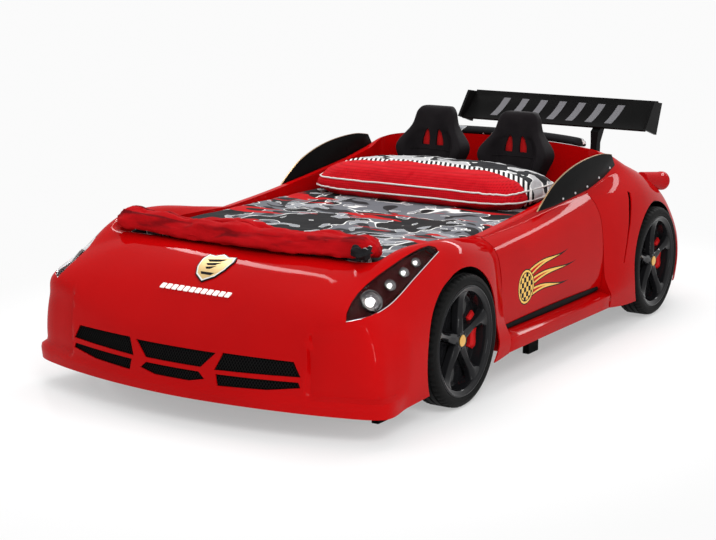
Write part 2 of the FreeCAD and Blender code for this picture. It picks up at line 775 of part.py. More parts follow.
def power_panel():
    """The panel in the tail: a housing, a rocker switch on two pins and a round socket."""
    face = TAIL_FACE + 9
    insert_width = PANEL_WIDTH - 2 * PANEL_LAP - 0.2
    insert_height = PANEL_HEIGHT - 2 * PANEL_LAP - 0.2
    bezel = Part.makeBox(PANEL_WIDTH, 3, PANEL_HEIGHT,
                         V(-PANEL_WIDTH / 2, face - 3, PANEL_Z))
    insert = Part.makeBox(insert_width, 22, insert_height,
                          V(-insert_width / 2, face - 24, PANEL_Z + PANEL_LAP + 0.1))
    middle_z = PANEL_Z + PANEL_HEIGHT / 2
    opening = Part.makeBox(ROCKER_WIDTH + 1, 19, ROCKER_HEIGHT + 3,
                           V(ROCKER_X - (ROCKER_WIDTH + 1) / 2, face - 19,
                             middle_z - (ROCKER_HEIGHT + 3) / 2))
    pivot = V(ROCKER_X, face - ROCKER_PIVOT_DEPTH, middle_z)
    pin_half = ROCKER_WIDTH / 2 + 3
    pin_start = pivot - V(pin_half, 0, 0)
    inlet_axis = V(INLET_X, face, middle_z)
    back_way = V(0, -1, 0)
    pin_bore = cylinder(1.65, 2 * pin_half + 0.6, pin_start - V(0.3, 0, 0), V(1, 0, 0))
    inlet_bore = cylinder(5.1, 24, inlet_axis, back_way)
    housing = bezel.fuse(insert).cut([opening, pin_bore, inlet_bore])
    feature("switch_housing", housing)
    section = [(-10, -6), (-4, -11), (6.5, -11), (4, 0), (6.5, 11), (-4, 11), (-10, 6)]
    corners = [pivot + V(-ROCKER_WIDTH / 2, y, z) for y, z in section]
    rocker = prism(corners, V(ROCKER_WIDTH, 0, 0))
    rocker = rocker.fuse(cylinder(1.5, 2 * pin_half, pin_start, V(1, 0, 0)))
    rocker.rotate(pivot, V(1, 0, 0), -ROCKER_TILT)
    feature("switch_rocker", rocker)
    sleeve = cylinder(5, 22, inlet_axis + V(0, 2, 0), back_way)
    sleeve = sleeve.cut(cylinder(2.75, 14, inlet_axis + V(0, 2, 0), back_way))
    feature("power_inlet", sleeve)


def make_spoiler(wall):
    """A tilted wing between two end plates, on two flared pylons."""
    span = size("wing_half_span")
    thickness = size("wing_thickness")
    low = V(0, from_rear(525), tall(622))
    high = V(0, from_rear(649), tall(722))
    along = unit(high - low)
    out = V(0, along.z, -along.y)
    depth = out * thickness
    middle = (low + high) * 0.5 + out * (thickness * 0.9)
    profile = Part.Wire([
        Part.Arc(low, middle, high).toShape(),
        line(high, high + depth * 0.5),
        Part.Arc(high + depth * 0.5, middle + depth, low + depth * 0.6).toShape(),
        line(low + depth * 0.6, low)])
    blade = Part.Face(profile).extrude(V(2 * span, 0, 0))
    blade.translate(V(-span, 0, 0))
    feature("spoiler_wing", blade)
    corners = [V(span, from_rear(y), tall(z)) for y, z in END_PLATE]
    plate = prism(corners, V(size("end_plate_thickness"), 0, 0))
    feature("spoiler_end_plate_left", plate)
    feature("spoiler_end_plate_right", mirrored_x(plate))
    x = size("pylon_offset")
    rings = []
    for half, ahead, behind, level in PYLON_RINGS:
        y_ahead = from_rear(ahead)
        y_behind = from_rear(behind)
        z = tall(level)
        rings.append([V(x - half, y_ahead, z), V(x + half, y_ahead, z),
                      V(x + half, y_behind, z), V(x - half, y_behind, z)])
    pylon = skin(rings)
    wing_cutter = prism([low - along * 30, low + depth * 0.6 - along * 30,
                         middle + depth * 1.02, high + depth * 0.6 + along * 30,
                         V(0, high.y + 44, high.z + 80), V(0, low.y - 80, high.z + 80)],
                        V(2 * span, 0, 0))
    pylon = largest(pylon.cut([wing_cutter, blade, wall]))
    feature("spoiler_pylon_left", pylon)
    feature("spoiler_pylon_right", mirrored_x(pylon))


# --------------------------------------------------------------------------- wheels

def revolved_body(label, profile):
    """A ring or dish turned round the X axis. The profile is (distance out, radius)."""
    body = doc.addObject("PartDesign::Body", label)
    sketch = outline_sketch(body, label + "_profile", "XZ_Plane", profile)
    turned = body.newObject("PartDesign::Revolution", label + "_turned")
    turned.Profile = sketch
    turned.ReferenceAxis = (sketch, ["H_Axis"])
    turned.Angle = 360
    doc.recompute()
    return body


def tyre_body():
    outer = BODY_HALF + 2
    inner = outer - size("tyre_width")
    bore = size("rim_diameter") / 2
    profile = [(inner, bore), (inner, WHEEL_R), (outer - 12, WHEEL_R),
               (outer - 1, WHEEL_R - 9), (outer - 1, bore)]
    return revolved_body("tyre_pattern", profile)


def rim_body():
    """Barrel, dish and hub turned as one, and the spokes set round them."""
    outer = BODY_HALF + 2
    barrel = size("rim_diameter") / 2
    hub = size("hub_diameter") / 2
    dish = outer - RIM_DISH_DEPTH
    face = outer - RIM_FACE_DEPTH
    profile = [(BOARD_OUT, 0), (BOARD_OUT, hub), (dish - 8, hub), (dish - 8, barrel),
               (face, barrel), (face, barrel - 10), (dish, barrel - 16), (dish, hub),
               (outer - HUB_FACE_DEPTH, hub), (outer - HUB_FACE_DEPTH, 0)]
    body = revolved_body("rim_pattern", profile)
    half = size("spoke_width") / 2
    reach = barrel - 8
    middle = (hub + reach) / 2
    spoke = [(-half, hub - 14), (-half * 0.55, middle), (-half * 1.35, reach),
             (half * 1.35, reach), (half * 0.55, middle), (half, hub - 14)]
    sketch = outline_sketch(body, "spoke_outline", "YZ_Plane", spoke, outer - 32)
    pad = body.newObject("PartDesign::Pad", "spoke_pad")
    pad.Profile = sketch
    pad.Length = 20
    doc.recompute()
    pattern = body.newObject("PartDesign::PolarPattern", "spoke_ring")
    pattern.Originals = [pad]
    pattern.Axis = (sketch, ["N_Axis"])
    pattern.Angle = 360
    pattern.setExpression("Occurrences", "Sizes.spoke_count")
    body.Tip = pattern
    doc.recompute()
    return body


def at_each_axle(shape):
    """Copies of a left front piece, drawn round the X axis, at the four wheels."""
    copies = []
    for axle_y in (FRONT_AXLE, REAR_AXLE):
        copy = shape.copy()
        copy.translate(V(0, axle_y, AXLE_Z))
        copies += [copy, mirrored_x(copy)]
    return group(copies)


def make_wheels():
    feature("tyres", at_each_axle(tyre_body().Shape))
    feature("rims", at_each_axle(rim_body().Shape))
    outer = BODY_HALF + 2
    cap = cylinder(size("cap_diameter") / 2, 5, V(outer - HUB_FACE_DEPTH, 0, 0), V(1, 0, 0))
    feature("wheel_caps", at_each_axle(cap))
    seat = V(outer - RIM_DISH_DEPTH, 0, 0)
    way = V(1, 0, 0)
    ring = cylinder(128, 14, seat, way).cut(cylinder(92, 14, seat, way))
    wedge = prism([seat, seat + V(0, 190, 110), seat + V(0, 190, -60)], way * 14)
    feature("brake_calipers", at_each_axle(ring.common(wedge)))


# -------------------------------------------------------------------------- bedding

def oval(x_half, y_half, count):
    """Points round a soft rectangle, as pairs."""
    result = []
    for k in range(count):
        angle = 2 * math.pi * (k + 0.5) / count
        cosine = math.cos(angle)
        sine = math.sin(angle)
        result.append((x_half * math.copysign(abs(cosine) ** 0.6, cosine),
                       y_half * math.copysign(abs(sine) ** 0.6, sine)))
    return result


def make_bedding():
    top = MATTRESS_TOP
    clear = size("mattress_clearance")
    core = box("mattress_block", "Sizes.mattress_width", "Sizes.mattress_length",
               "Sizes.mattress_thickness",
               V(-size("mattress_width") / 2, WELL_FRONT + clear, SLAT_TOP))
    parts.remove(core)
    doc.recompute()
    mattress = doc.addObject("Part::Fillet", "mattress")
    mattress.Base = core
    upright = []
    for number, edge in enumerate(core.Shape.Edges, start=1):
        if abs(edge.tangentAt(edge.FirstParameter).z) > 0.9:
            upright.append((number, CORNER_RADIUS, CORNER_RADIUS))
    mattress.Edges = upright
    keep(mattress, "mattress")
    duvet_z = top + SOFT
    thick = size("duvet_thickness")
    half = size("mattress_width") / 2 - 2
    rings = []
    start = WELL_FRONT + clear + 2
    end = start + size("mattress_length") - 4
    hem = DUVET_HEM
    for y, x_half, height in ((start, half - hem, thick * 0.4), (start + hem, half, thick * 0.8),
                              (start + 2 * hem, half, thick), (end - 2 * hem, half, thick),
                              (end - hem, half, thick * 0.8), (end, half - hem, thick * 0.4)):
        top_z = duvet_z + height
        middle_z = duvet_z + height * 0.5
        rings.append([V(x_half, y, duvet_z), V(x_half, y, middle_z),
                      V(x_half - hem, y, top_z), V(hem - x_half, y, top_z),
                      V(-x_half, y, middle_z), V(-x_half, y, duvet_z)])
    feature("duvet", skin(rings))
    cover_z = duvet_z + thick + SOFT
    feature("pillow", pillow(V(0, WELL_REAR - PILLOW_FROM_WELL, cover_z)))
    feature("blanket", blanket(cover_z))
    for hand, side in (("left", 1), ("right", -1)):
        seat, inserts = mini_seat(side * size("seat_offset"), cover_z)
        feature("seat_" + hand, seat)
        feature("seat_slots_" + hand, inserts)


def pillow(base):
    """A pillow with a crown and drawn-in corners, flat where it lies."""
    half_x = size("pillow_width") / 2
    half_y = size("pillow_depth") / 2
    crown = size("pillow_height")
    rings = []
    for share, reach in ((0, 1.0), (0.14, 1.03), (0.4, 1.0), (0.68, 0.9), (0.88, 0.7),
                         (1, 0.38)):
        ring = []
        for x, y in oval(half_x * reach, half_y * reach, 20):
            ring.append(base + V(x, y, crown * share))
        rings.append(ring)
    return skin(rings)


def blanket(low_z):
    """A blanket folded into a long roll across the foot of the bed, sagging in waves."""
    half = size("mattress_width") / 2
    rings = []
    steps = 13
    for k in range(steps):
        share = k / (steps - 1.0)
        x = (share * 2 - 1) * half
        sway = 7 * math.sin(share * 9.0)
        swell = 1 + 0.09 * math.sin(share * 17.0)
        end = 0.7 if k in (0, steps - 1) else 1
        ring = []
        lift = BLANKET_END_LIFT * (share * 2 - 1) ** 4
        for y, z in BLANKET_SECTION:
            ring.append(V(x, from_front(y * end + sway), low_z + lift + z * swell * end))
        rings.append(ring)
    return skin(rings)


def mini_seat(x_middle, low_z):
    """A small bucket seat back of foam: wings, narrow head and two slots."""
    half = size("seat_width") / 2
    height = size("seat_height")
    back_y = WELL_REAR - SEAT_BACK_FROM_WELL
    rings = []
    for rise, width, wing, depth in SEAT_RINGS:
        lean = rise * SEAT_LEAN
        y = back_y + lean
        w = half * width
        section = [(-w * 0.82, 0), (w * 0.82, 0), (w, -depth * 0.45), (w * 0.93, -wing),
                   (w * 0.72, -wing * 0.98), (w * 0.5, -depth), (-w * 0.5, -depth),
                   (-w * 0.72, -wing * 0.98), (-w * 0.93, -wing), (-w, -depth * 0.45)]
        rings.append([V(x_middle + a, y + b, low_z + rise * height) for a, b in section])
    seat = skin(rings)
    slots = []
    for side in (1, -1):
        corners = []
        for a, b in SEAT_SLOT:
            corners.append(V(x_middle + side * a, back_y - 90, low_z + b * height))
        slots.append(prism(corners, V(0, 200, 0)))
    fillings = []
    for hole in slots:
        plug = largest(seat.common(hole))
        bound = plug.BoundBox
        behind = Part.makeBox(bound.XLength, bound.YLength, bound.ZLength,
                              V(bound.XMin, bound.YMin + SLOT_DEPTH, bound.ZMin))
        fillings.append(largest(plug.common(behind)))
    return largest(seat.cut(slots)), group(fillings)


make_frame()
make_front()
make_sides()
make_windows()
make_rear()
make_wheels()
make_bedding()

doc.recompute()
os.makedirs("parts", exist_ok=True)
for item in doc.Objects:
    if "Invalid" in item.State or "Error" in item.State:
        raise RuntimeError("object failed: " + item.Label)
for item in parts:
    if item.Shape.isNull() or not item.Shape.isValid():
        raise RuntimeError("shape is not valid: " + item.Label)
for item in parts:
    item.Shape.exportStep(os.path.join("parts", item.Label + ".step"))
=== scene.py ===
"""Looks of the racing-car bed: a smooth moulded body, wheels, lamps, bedding and a studio.
Metres, +Z up, nose at -Y, the car's left side at +X, as in the frame."""

import math

import bmesh
import bpy
from mathutils import Matrix, Vector, noise

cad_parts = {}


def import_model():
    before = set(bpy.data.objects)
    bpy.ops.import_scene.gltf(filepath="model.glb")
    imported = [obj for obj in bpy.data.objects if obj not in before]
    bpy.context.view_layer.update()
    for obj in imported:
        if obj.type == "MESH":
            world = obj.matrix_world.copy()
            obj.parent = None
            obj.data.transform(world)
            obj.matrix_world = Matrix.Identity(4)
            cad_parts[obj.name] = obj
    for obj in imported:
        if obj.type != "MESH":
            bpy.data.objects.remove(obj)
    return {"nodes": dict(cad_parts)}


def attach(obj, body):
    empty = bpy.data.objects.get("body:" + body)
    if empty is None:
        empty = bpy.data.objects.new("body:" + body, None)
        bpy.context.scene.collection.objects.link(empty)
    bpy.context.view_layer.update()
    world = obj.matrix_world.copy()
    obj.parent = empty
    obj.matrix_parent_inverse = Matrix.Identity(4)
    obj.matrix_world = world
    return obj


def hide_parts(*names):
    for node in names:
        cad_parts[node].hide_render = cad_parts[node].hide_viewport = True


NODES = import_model()["nodes"]
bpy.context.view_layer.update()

# Where the body's lines and pieces lie, in metres.
WELL_FRONT = -0.915
WELL_REAR = 0.595
FRONT_AXLE = -0.657
REAR_AXLE = 0.779
AXLE_Z = 0.197
ARCH_R = 0.215
FRONT_SEAM = -0.365
REAR_SEAM = 0.380
HALF_SEAM = 0.0032
WALL = 0.004
RIM_X = 0.455
BOARD_TOP = 0.398
NOSE_Y = -1.28
OPENING_DEPTH = 0.172
ARCH_CUT_HALF = 0.7
COVER_Z = 0.4546

X = Vector((1, 0, 0))
Y = Vector((0, 1, 0))
Z = Vector((0, 0, 1))
SIDES = (("left", 1), ("right", -1))


# ---------------------------------------------------------------- meshes

def new_object(name, mesh):
    obj = bpy.data.objects.new(name, mesh)
    bpy.context.scene.collection.objects.link(obj)
    return obj


def from_data(name, verts, faces):
    mesh = bpy.data.meshes.new(name)
    mesh.from_pydata([tuple(v) for v in verts], [], faces)
    mesh.update()
    return new_object(name, mesh)


def modify(obj, kind, **settings):
    modifier = obj.modifiers.new(kind.lower(), kind)
    for key, value in settings.items():
        setattr(modifier, key, value)
    return obj


def apply_modifiers(obj):
    graph = bpy.context.evaluated_depsgraph_get()
    mesh = bpy.data.meshes.new_from_object(obj.evaluated_get(graph))
    obj.modifiers.clear()
    obj.data = mesh
    return obj


def edit_mesh(obj, change):
    bm = bmesh.new()
    bm.from_mesh(obj.data)
    change(bm)
    bm.to_mesh(obj.data)
    bm.free()
    return obj


def recalc(obj):
    return edit_mesh(obj, lambda bm: bmesh.ops.recalc_face_normals(bm, faces=bm.faces))


def smooth(obj, angle=32):
    """Smooth shading, with a sharp edge wherever two faces meet at more than an angle."""
    def shade(bm):
        for face in bm.faces:
            face.smooth = True
        for edge in bm.edges:
            edge.smooth = edge.calc_face_angle(0) < math.radians(angle)
    return edit_mesh(obj, shade)


def add_bevel(obj, width, segments=2, angle=30):
    return modify(obj, "BEVEL", width=width, segments=segments, limit_method="ANGLE",
                  angle_limit=math.radians(angle), harden_normals=False)


def bevelled(obj, width, segments=2, angle=30):
    return apply_modifiers(add_bevel(obj, width, segments, angle))


def subdivided(obj):
    return apply_modifiers(modify(obj, "SUBSURF", levels=1, render_levels=1))


def walled(obj, thickness):
    modify(obj, "SOLIDIFY", thickness=thickness, offset=-1, use_even_offset=True, thickness_clamp=1)
    return apply_modifiers(obj)


def cut(obj, cutters, operation="DIFFERENCE"):
    """Cuts an object by closed cutters, which are used up."""
    for cutter in cutters:
        modify(obj, "BOOLEAN", operation=operation, solver="EXACT", object=cutter)
    apply_modifiers(obj)
    for cutter in cutters:
        bpy.data.objects.remove(cutter)
    return obj


def net_sheet(name, net, closed=False, capped=True):
    """Quads through a net of rows. A closed net joins the ends of each row, and has a cap
    on its first and last row unless told otherwise."""
    width = len(net[0])
    last = (len(net) - 1) * width
    faces = []
    for i in range(0, last, width):
        for j in range(width if closed else width - 1):
            n = (j + 1) % width
            faces.append([i + j, i + n, i + width + n, i + width + j])
    if closed and capped:
        faces.append(list(range(width))[::-1])
        faces.append(list(range(last, last + width)))
    sheet = from_data(name, [p for row in net for p in row], faces)
    return recalc(sheet) if closed else sheet


def outward_sheet(obj, inside):
    """Turns the sheet's faces away from a point inside."""
    total = 0
    for face in obj.data.polygons:
        total += face.area * face.normal.dot(face.center - inside)
    if total < 0:
        obj.data.flip_normals()
    return obj


def prism(name, points, way):
    """A closed prism from an outline of points along a vector."""
    return net_sheet(name, [points, [p + way for p in points]], closed=True)


def prism_along_y(name, outline, y, depth):
    """A prism along Y from an outline of (x, z) in metres."""
    return prism(name, [Vector((x, y, z)) for x, z in outline], Y * depth)


def rectangle(half, low, high):
    return [(-half, low), (half, low), (half, high), (-half, high)]


def ring(centre, across, up, radius, count):
    """Points round a circle that lies along two directions."""
    angles = [math.tau * k / count for k in range(count)]
    return [centre + (across * math.cos(t) + up * math.sin(t)) * radius for t in angles]


def rings_along(place, way, sizes, count):
    """Circles along a line. The sizes are (distance along, radius)."""
    across = way.cross(Z).normalized()
    up = across.cross(way).normalized()
    return [ring(place + way * along, across, up, radius, count) for along, radius in sizes]


def tube(name, start, end, r_start, r_end, count):
    """A straight round bar or cone between two points."""
    axis = (end - start).normalized()
    side = axis.orthogonal().normalized()
    up = axis.cross(side)
    rows = [ring(start, side, up, r_start, count), ring(end, side, up, r_end, count)]
    return net_sheet(name, rows, closed=True)


def lathe(name, profile, centre, side, count):
    """A piece turned round an axle along X. The profile is (distance out, radius)."""
    rows = [ring(centre + X * side * x, Y, Z, r, count) for x, r in profile]
    return net_sheet(name, rows, closed=True, capped=False)


def round_line(name, path, radius):
    """A fine round welt that follows a path of points."""
    rows = []
    last = len(path) - 1
    for k, point in enumerate(path):
        ahead = (path[min(k + 1, last)] - path[max(k - 1, 0)]).normalized()
        side = ahead.cross(Z).normalized()
        rows.append(ring(point, side, side.cross(ahead), radius, 8))
    return smooth(net_sheet(name, rows, closed=True), 80)


def mirror_x(obj, name):
    """The same piece on the car's other side."""
    mesh = obj.data.copy()
    mesh.transform(Matrix.Scale(-1, 4, X))
    mesh.flip_normals()
    return new_object(name, mesh)


def join(name, objects):
    verts = []
    faces = []
    for obj in objects:
        start = len(verts)
        verts += [v.co.copy() for v in obj.data.vertices]
        faces += [[start + i for i in face.vertices] for face in obj.data.polygons]
    for obj in objects:
        bpy.data.objects.remove(obj)
    return from_data(name, verts, faces)


def midpoint(before, start, end, after):
    """Midway between two points, on the smooth curve through all four."""
    return ((start + end) * 9 - before - after) / 16


def refined(net):
    """Twice as many rows, the new ones on the smooth curves through the old."""
    result = []
    last = len(net) - 1
    for i in range(last):
        result.append(net[i])
        row = []
        for j, point in enumerate(net[i]):
            other = net[i + 1][j]
            before = net[i - 1][j] if i else point * 2 - other
            after = net[i + 2][j] if i + 1 < last else other * 2 - point
            row.append(midpoint(before, point, other, after))
        result.append(row)
    result.append(net[last])
    return result


def smooth_net(net, along, across):
    for _ in range(along):
        net = refined(net)
    net = list(zip(*net))
    for _ in range(across):
        net = refined(net)
    return [list(row) for row in zip(*net)]


def smooth_path(points):
    """Eight times as many points on the smooth curve through a few."""
    return [row[0] for row in smooth_net([[p] for p in points], 3, 0)]


# ---------------------------------------------------------------- body outlines

# Cross stations of the body in millimetres, lip to rim; y from the well's front.
FRONT_STATIONS = [
    [(592, 551, 100), (596, 551, 146), (570, 551, 205), (557, 551, 320), (543, 551, 392),
     (516, 551, 426), (490, 551, 440), (484, 551, 446), (460, 551, 448)],
    [(596, 445, 92), (602, 445, 148), (590, 445, 215), (584, 445, 335), (562, 445, 415),
     (522, 445, 451), (498, 445, 459), (482, 445, 460), (460, 445, 452)],
    [(598, 265, 88), (604, 265, 158), (602, 265, 250), (597, 265, 365), (573, 265, 446),
     (530, 265, 480), (502, 265, 483), (480, 265, 473), (460, 265, 455)],
    [(600, 65, 85), (606, 65, 165), (604, 65, 255), (590, 65, 345), (562, 65, 422),
     (517, 70, 479), (492, 72, 486), (476, 58, 477), (460, 45, 458)],
    [(602, -95, 80), (606, -95, 165), (602, -95, 262), (575, -95, 332), (545, -85, 385),
     (502, -62, 436), (480, -40, 456), (464, -22, 460), (452, -5, 452)],
    [(600, -195, 78), (600, -205, 165), (586, -207, 265), (552, -205, 335),
     (512, -165, 380), (460, -112, 419), (418, -74, 439), (380, -38, 449), (345, -5, 450)],
    [(502, -250, 80), (508, -256, 165), (499, -254, 258), (478, -251, 325),
     (440, -205, 373), (387, -140, 414), (346, -92, 435), (306, -46, 447), (268, -5, 450)],
    [(350, -296, 83), (352, -301, 155), (349, -293, 228), (341, -281, 292),
     (315, -228, 358), (278, -160, 403), (247, -106, 429), (218, -54, 445), (190, -5, 450)],
    [(180, -328, 85), (180, -331, 148), (178, -320, 210), (175, -304, 266),
     (163, -238, 345), (146, -170, 398), (131, -112, 427), (115, -56, 444), (100, -5, 450)],
    [(0, -339, 85), (0, -342, 146), (0, -330, 205), (0, -311, 258), (0, -243, 340),
     (0, -173, 396), (0, -114, 426), (0, -57, 444), (0, -5, 450)],
]

# The same lines round the tail; y from the well's rear.
REAR_STATIONS = [
    [(594, -215, 100), (598, -215, 146), (572, -215, 205), (561, -215, 330),
     (548, -215, 410), (521, -215, 460), (492, -215, 490), (486, -215, 524),
     (460, -215, 526)],
    [(600, -85, 88), (604, -85, 155), (596, -85, 230), (585, -85, 345), (562, -85, 430),
     (529, -85, 484), (494, -78, 518), (486, -66, 552), (460, -55, 556)],
    [(600, 110, 85), (606, 110, 160), (604, 110, 260), (592, 110, 375), (566, 115, 452),
     (527, 110, 502), (496, 70, 542), (476, 30, 578), (455, 5, 584)],
    [(598, 320, 90), (604, 320, 165), (598, 325, 262), (573, 320, 352), (541, 310, 425),
     (497, 275, 484), (462, 180, 534), (432, 80, 582), (400, 14, 602)],
    [(560, 455, 100), (566, 462, 170), (556, 465, 262), (524, 452, 358), (482, 425, 428),
     (422, 360, 490), (384, 250, 538), (350, 120, 590), (318, 22, 612)],
    [(440, 525, 108), (446, 532, 175), (436, 530, 272), (412, 515, 370), (368, 480, 440),
     (308, 400, 504), (274, 278, 548), (244, 140, 596), (214, 30, 618)],
    [(230, 552, 112), (232, 558, 178), (228, 552, 278), (216, 535, 382), (192, 500, 450),
     (158, 412, 515), (140, 290, 554), (124, 148, 599), (108, 37, 621)],
    [(0, 560, 115), (0, 564, 180), (0, 556, 280), (0, 540, 385), (0, 505, 455),
     (0, 416, 520), (0, 294, 558), (0, 150, 600), (0, 40, 622)],
]

# Door panel above its bottom edge; the second number is the share from seam to seam.
SIDE_STATIONS = [
    [(556, 0, 170), (559, 0, 240), (557, 0, 320), (543, 0, 392),
     (516, 0, 426), (490, 0, 440), (484, 0, 446), (460, 0, 448)],
    [(555, 0.33, 169), (558, 0.33, 240), (556, 0.33, 322), (544, 0.33, 397),
     (518, 0.33, 434), (490, 0.33, 450), (485, 0.33, 466), (460, 0.33, 468)],
    [(555, 0.67, 168), (559, 0.67, 240), (557, 0.67, 325), (546, 0.67, 403),
     (520, 0.67, 447), (491, 0.67, 470), (486, 0.67, 494), (460, 0.67, 496)],
    [(557, 1, 167), (562, 1, 240), (561, 1, 330), (548, 1, 410),
     (521, 1, 460), (492, 1, 490), (486, 1, 524), (460, 1, 526)],
]

SILL_STATIONS = [
    [(592, 0, 100), (597, 0, 144), (566, 0, 158), (530, 0, 158)],
    [(594, 0.33, 102), (600, 0.33, 143), (566, 0.33, 158), (530, 0.33, 158)],
    [(594, 0.67, 101), (601, 0.67, 143), (567, 0.67, 157), (530, 0.67, 157)],
    [(594, 1, 100), (598, 1, 144), (568, 1, 156), (530, 1, 156)],
]

# The drawn reach from each end of the well to its seam, and the reach that leaves the seam open.
FRONT_REACH = (551, 549.25)
REAR_REACH = (215, 214.25)

# Openings of the nose as (x, z), and the headlamp and vent outlines, in millimetres.
GRILLE_CENTRE = [(-140, 220), (140, 220), (96, 176), (-96, 176)]
GRILLE_OUTER = [(162, 223), (374, 222), (396, 182), (140, 174)]
INTAKE_CENTRE = [(-92, 164), (92, 164), (112, 146), (60, 134), (-60, 134), (-112, 146)]
INTAKE_OUTER = [(146, 164), (390, 168), (396, 153), (300, 138), (152, 132)]
LAMP_OUTLINE = [(503, -236, 338), (490, -186, 381), (489, -110, 416), (508, -29, 450),
                (521, 69, 477), (528, 160, 486), (547, 178, 466), (557, 100, 446),
                (559, 10, 412), (557, -92, 369), (544, -182, 348)]
LAMP_WAY = Vector((0.74, -0.38, 0.555)).normalized()
PUNCH_REACH = 0.062
VENT = [(-106, 238), (-99, 236), (-62, 330), (-20, 404), (16, 462), (2, 470), (-34, 414),
        (-70, 334)]
VENT_BACKING = [(-118, 230), (-92, 230), (-50, 330), (-4, 408), (30, 470), (-4, 478),
                (-48, 416), (-84, 334)]


def front_point(x, y, z):
    """A point drawn in millimetres from the well's front, in metres."""
    drawn, real = FRONT_REACH
    reach = y if y < 0 else y * real / drawn
    return Vector((x, WELL_FRONT * 1000 + reach, z)) / 1000


def rear_point(x, y, z):
    drawn, real = REAR_REACH
    reach = y * real / drawn if y < 0 else y
    return Vector((x, WELL_REAR * 1000 + reach, z)) / 1000


def seam_point(x, share, z):
    start = FRONT_SEAM + HALF_SEAM
    end = REAR_SEAM - HALF_SEAM
    return Vector((x / 1000, start + share * (end - start), z / 1000))


def foot_of(station):
    """Where the flange below a station's rim stands on the boards."""
    rim = station[-1]
    return Vector((rim.x - WALL * rim.x / RIM_X, min(rim.y, WELL_REAR + 0.002), BOARD_TOP))


def ramp(value, low, high):
    """0 at low and 1 at high, smooth between."""
    share = min(1.0, max(0.0, (value - low) / (high - low)))
    return share * share * (3 - 2 * share)


def nose_relief(net):
    """Sets the bumper's corners back behind a vertical step, over a chin lip."""
    for row in net:
        for p in row[:-2]:
            ahead = 1 - ramp(p.y, -1.09, -0.98)
            corner = ramp(abs(p.x), 0.410, 0.421) * ramp(p.z, 0.120, 0.136)
            corner *= 1 - ramp(p.z, 0.27, 0.34)
            lip = 1 - ramp(p.z, 0.108, 0.134)
            out = Vector((p.x, (p.y + 0.75) * 1.2, 0)).normalized()
            p += out * ahead * (0.007 * lip - 0.016 * corner)
    return net


def flipped(points):
    return [Vector((-p.x, p.y, p.z)) for p in points]


def body_net(rows, to_point, whole, along=3):
    """The refined net of a moulding. The flange stays straight below the rim."""
    net = [[to_point(*p) for p in row] for row in rows]
    if whole:
        net += [flipped(row) for row in net[-2::-1]]
    feet = [[foot_of(row)] for row in net]
    for _ in range(along):
        feet = refined(feet)
    fine = smooth_net(net, along, 3)
    return [row + [row[-1].lerp(foot, 0.5), foot] for row, (foot,) in zip(fine, feet)]


def moulding(name, net, inside):
    return walled(outward_sheet(net_sheet(name, net), inside), WALL)


def arch_cutter(axle_y, ahead=0.0):
    middle = Vector((0, axle_y - ahead, AXLE_Z - ahead * 0.4))
    return tube("arch", middle - X * ARCH_CUT_HALF, middle + X * ARCH_CUT_HALF, ARCH_R, ARCH_R, 128)


def lamp_cutter(margin):
    """A straight punch through the headlamp's outline, drawn in by a margin."""
    points = [front_point(*p) for p in LAMP_OUTLINE]
    middle = sum(points, Vector()) / len(points)
    flat = [p - LAMP_WAY * (p - middle).dot(LAMP_WAY) for p in points]
    loop = [[middle + (p - middle) * (1 - margin / (p - middle).length)] for p in flat]
    fine = refined(loop[-2:] + loop + loop[:2])
    rounded = [row[0] for row in fine[4:4 + 2 * len(flat)]]
    start = [p - LAMP_WAY * PUNCH_REACH for p in rounded]
    return prism("punch", start, LAMP_WAY * 2 * PUNCH_REACH)


def nose_cutter(outline):
    metres = [(x / 1000, z / 1000) for x, z in outline]
    return prism_along_y("opening", metres, NOSE_Y, OPENING_DEPTH)


# ---------------------------------------------------------------- materials

RED = (0.48, 0.002, 0.0025)
DARK_RED = (0.33, 0.001, 0.0015)
GOLD = (0.80, 0.50, 0.12)
BLACK = (0.006, 0.006, 0.007)
WHITE = (0.80, 0.79, 0.77)

# The door's emblem: its centre, the reach of its middle stripe, and its discs from outside in.
EMBLEM_Y = -0.195
EMBLEM_Z = 0.270
EMBLEM_TAIL = 0.30
EMBLEM_RINGS = ((0.056, BLACK), (0.0525, GOLD), (0.046, BLACK))
EMBLEM_BOARD_R = 0.043
EMBLEM_CELL = 0.0155

# Where the pillow's hatched band and its printed crown begin.
PILLOW_BAND_Y = 0.130
PILLOW_CROWN_Y = PILLOW_BAND_Y + 0.048


class Tree:
    """A node tree, written in few words."""

    def __init__(self, owner):
        owner.use_nodes = True
        self.tree = owner.node_tree

    def feed(self, socket, value):
        if isinstance(value, bpy.types.NodeSocket):
            self.tree.links.new(value, socket)
        else:
            socket.default_value = value

    def node(self, kind, inputs=None, **settings):
        """A new node with its own settings made and some of its inputs fed."""
        node = self.tree.nodes.new(kind)
        for key, value in settings.items():
            setattr(node, key, value)
        for key, value in (inputs or {}).items():
            self.feed(node.inputs[key], value)
        return node

    def math(self, operation, *values):
        return self.node("ShaderNodeMath", dict(enumerate(values)), operation=operation).outputs[0]

    def spread(self, value, low, high):
        """A value from 0 to 1, spread between two numbers."""
        ends = {"Value": value, "To Min": low, "To Max": high}
        return self.node("ShaderNodeMapRange", ends).outputs["Result"]

    def seen_directly(self):
        """1 for what the camera, a reflection or a pane sees, and 0 for lighting."""
        path = self.node("ShaderNodeLightPath").outputs
        total = path["Is Camera Ray"]
        for name in ("Is Glossy Ray", "Is Transmission Ray"):
            both = {0: total, 1: path[name]}
            total = self.node("ShaderNodeMath", both, operation="ADD", use_clamp=True).outputs[0]
        return total


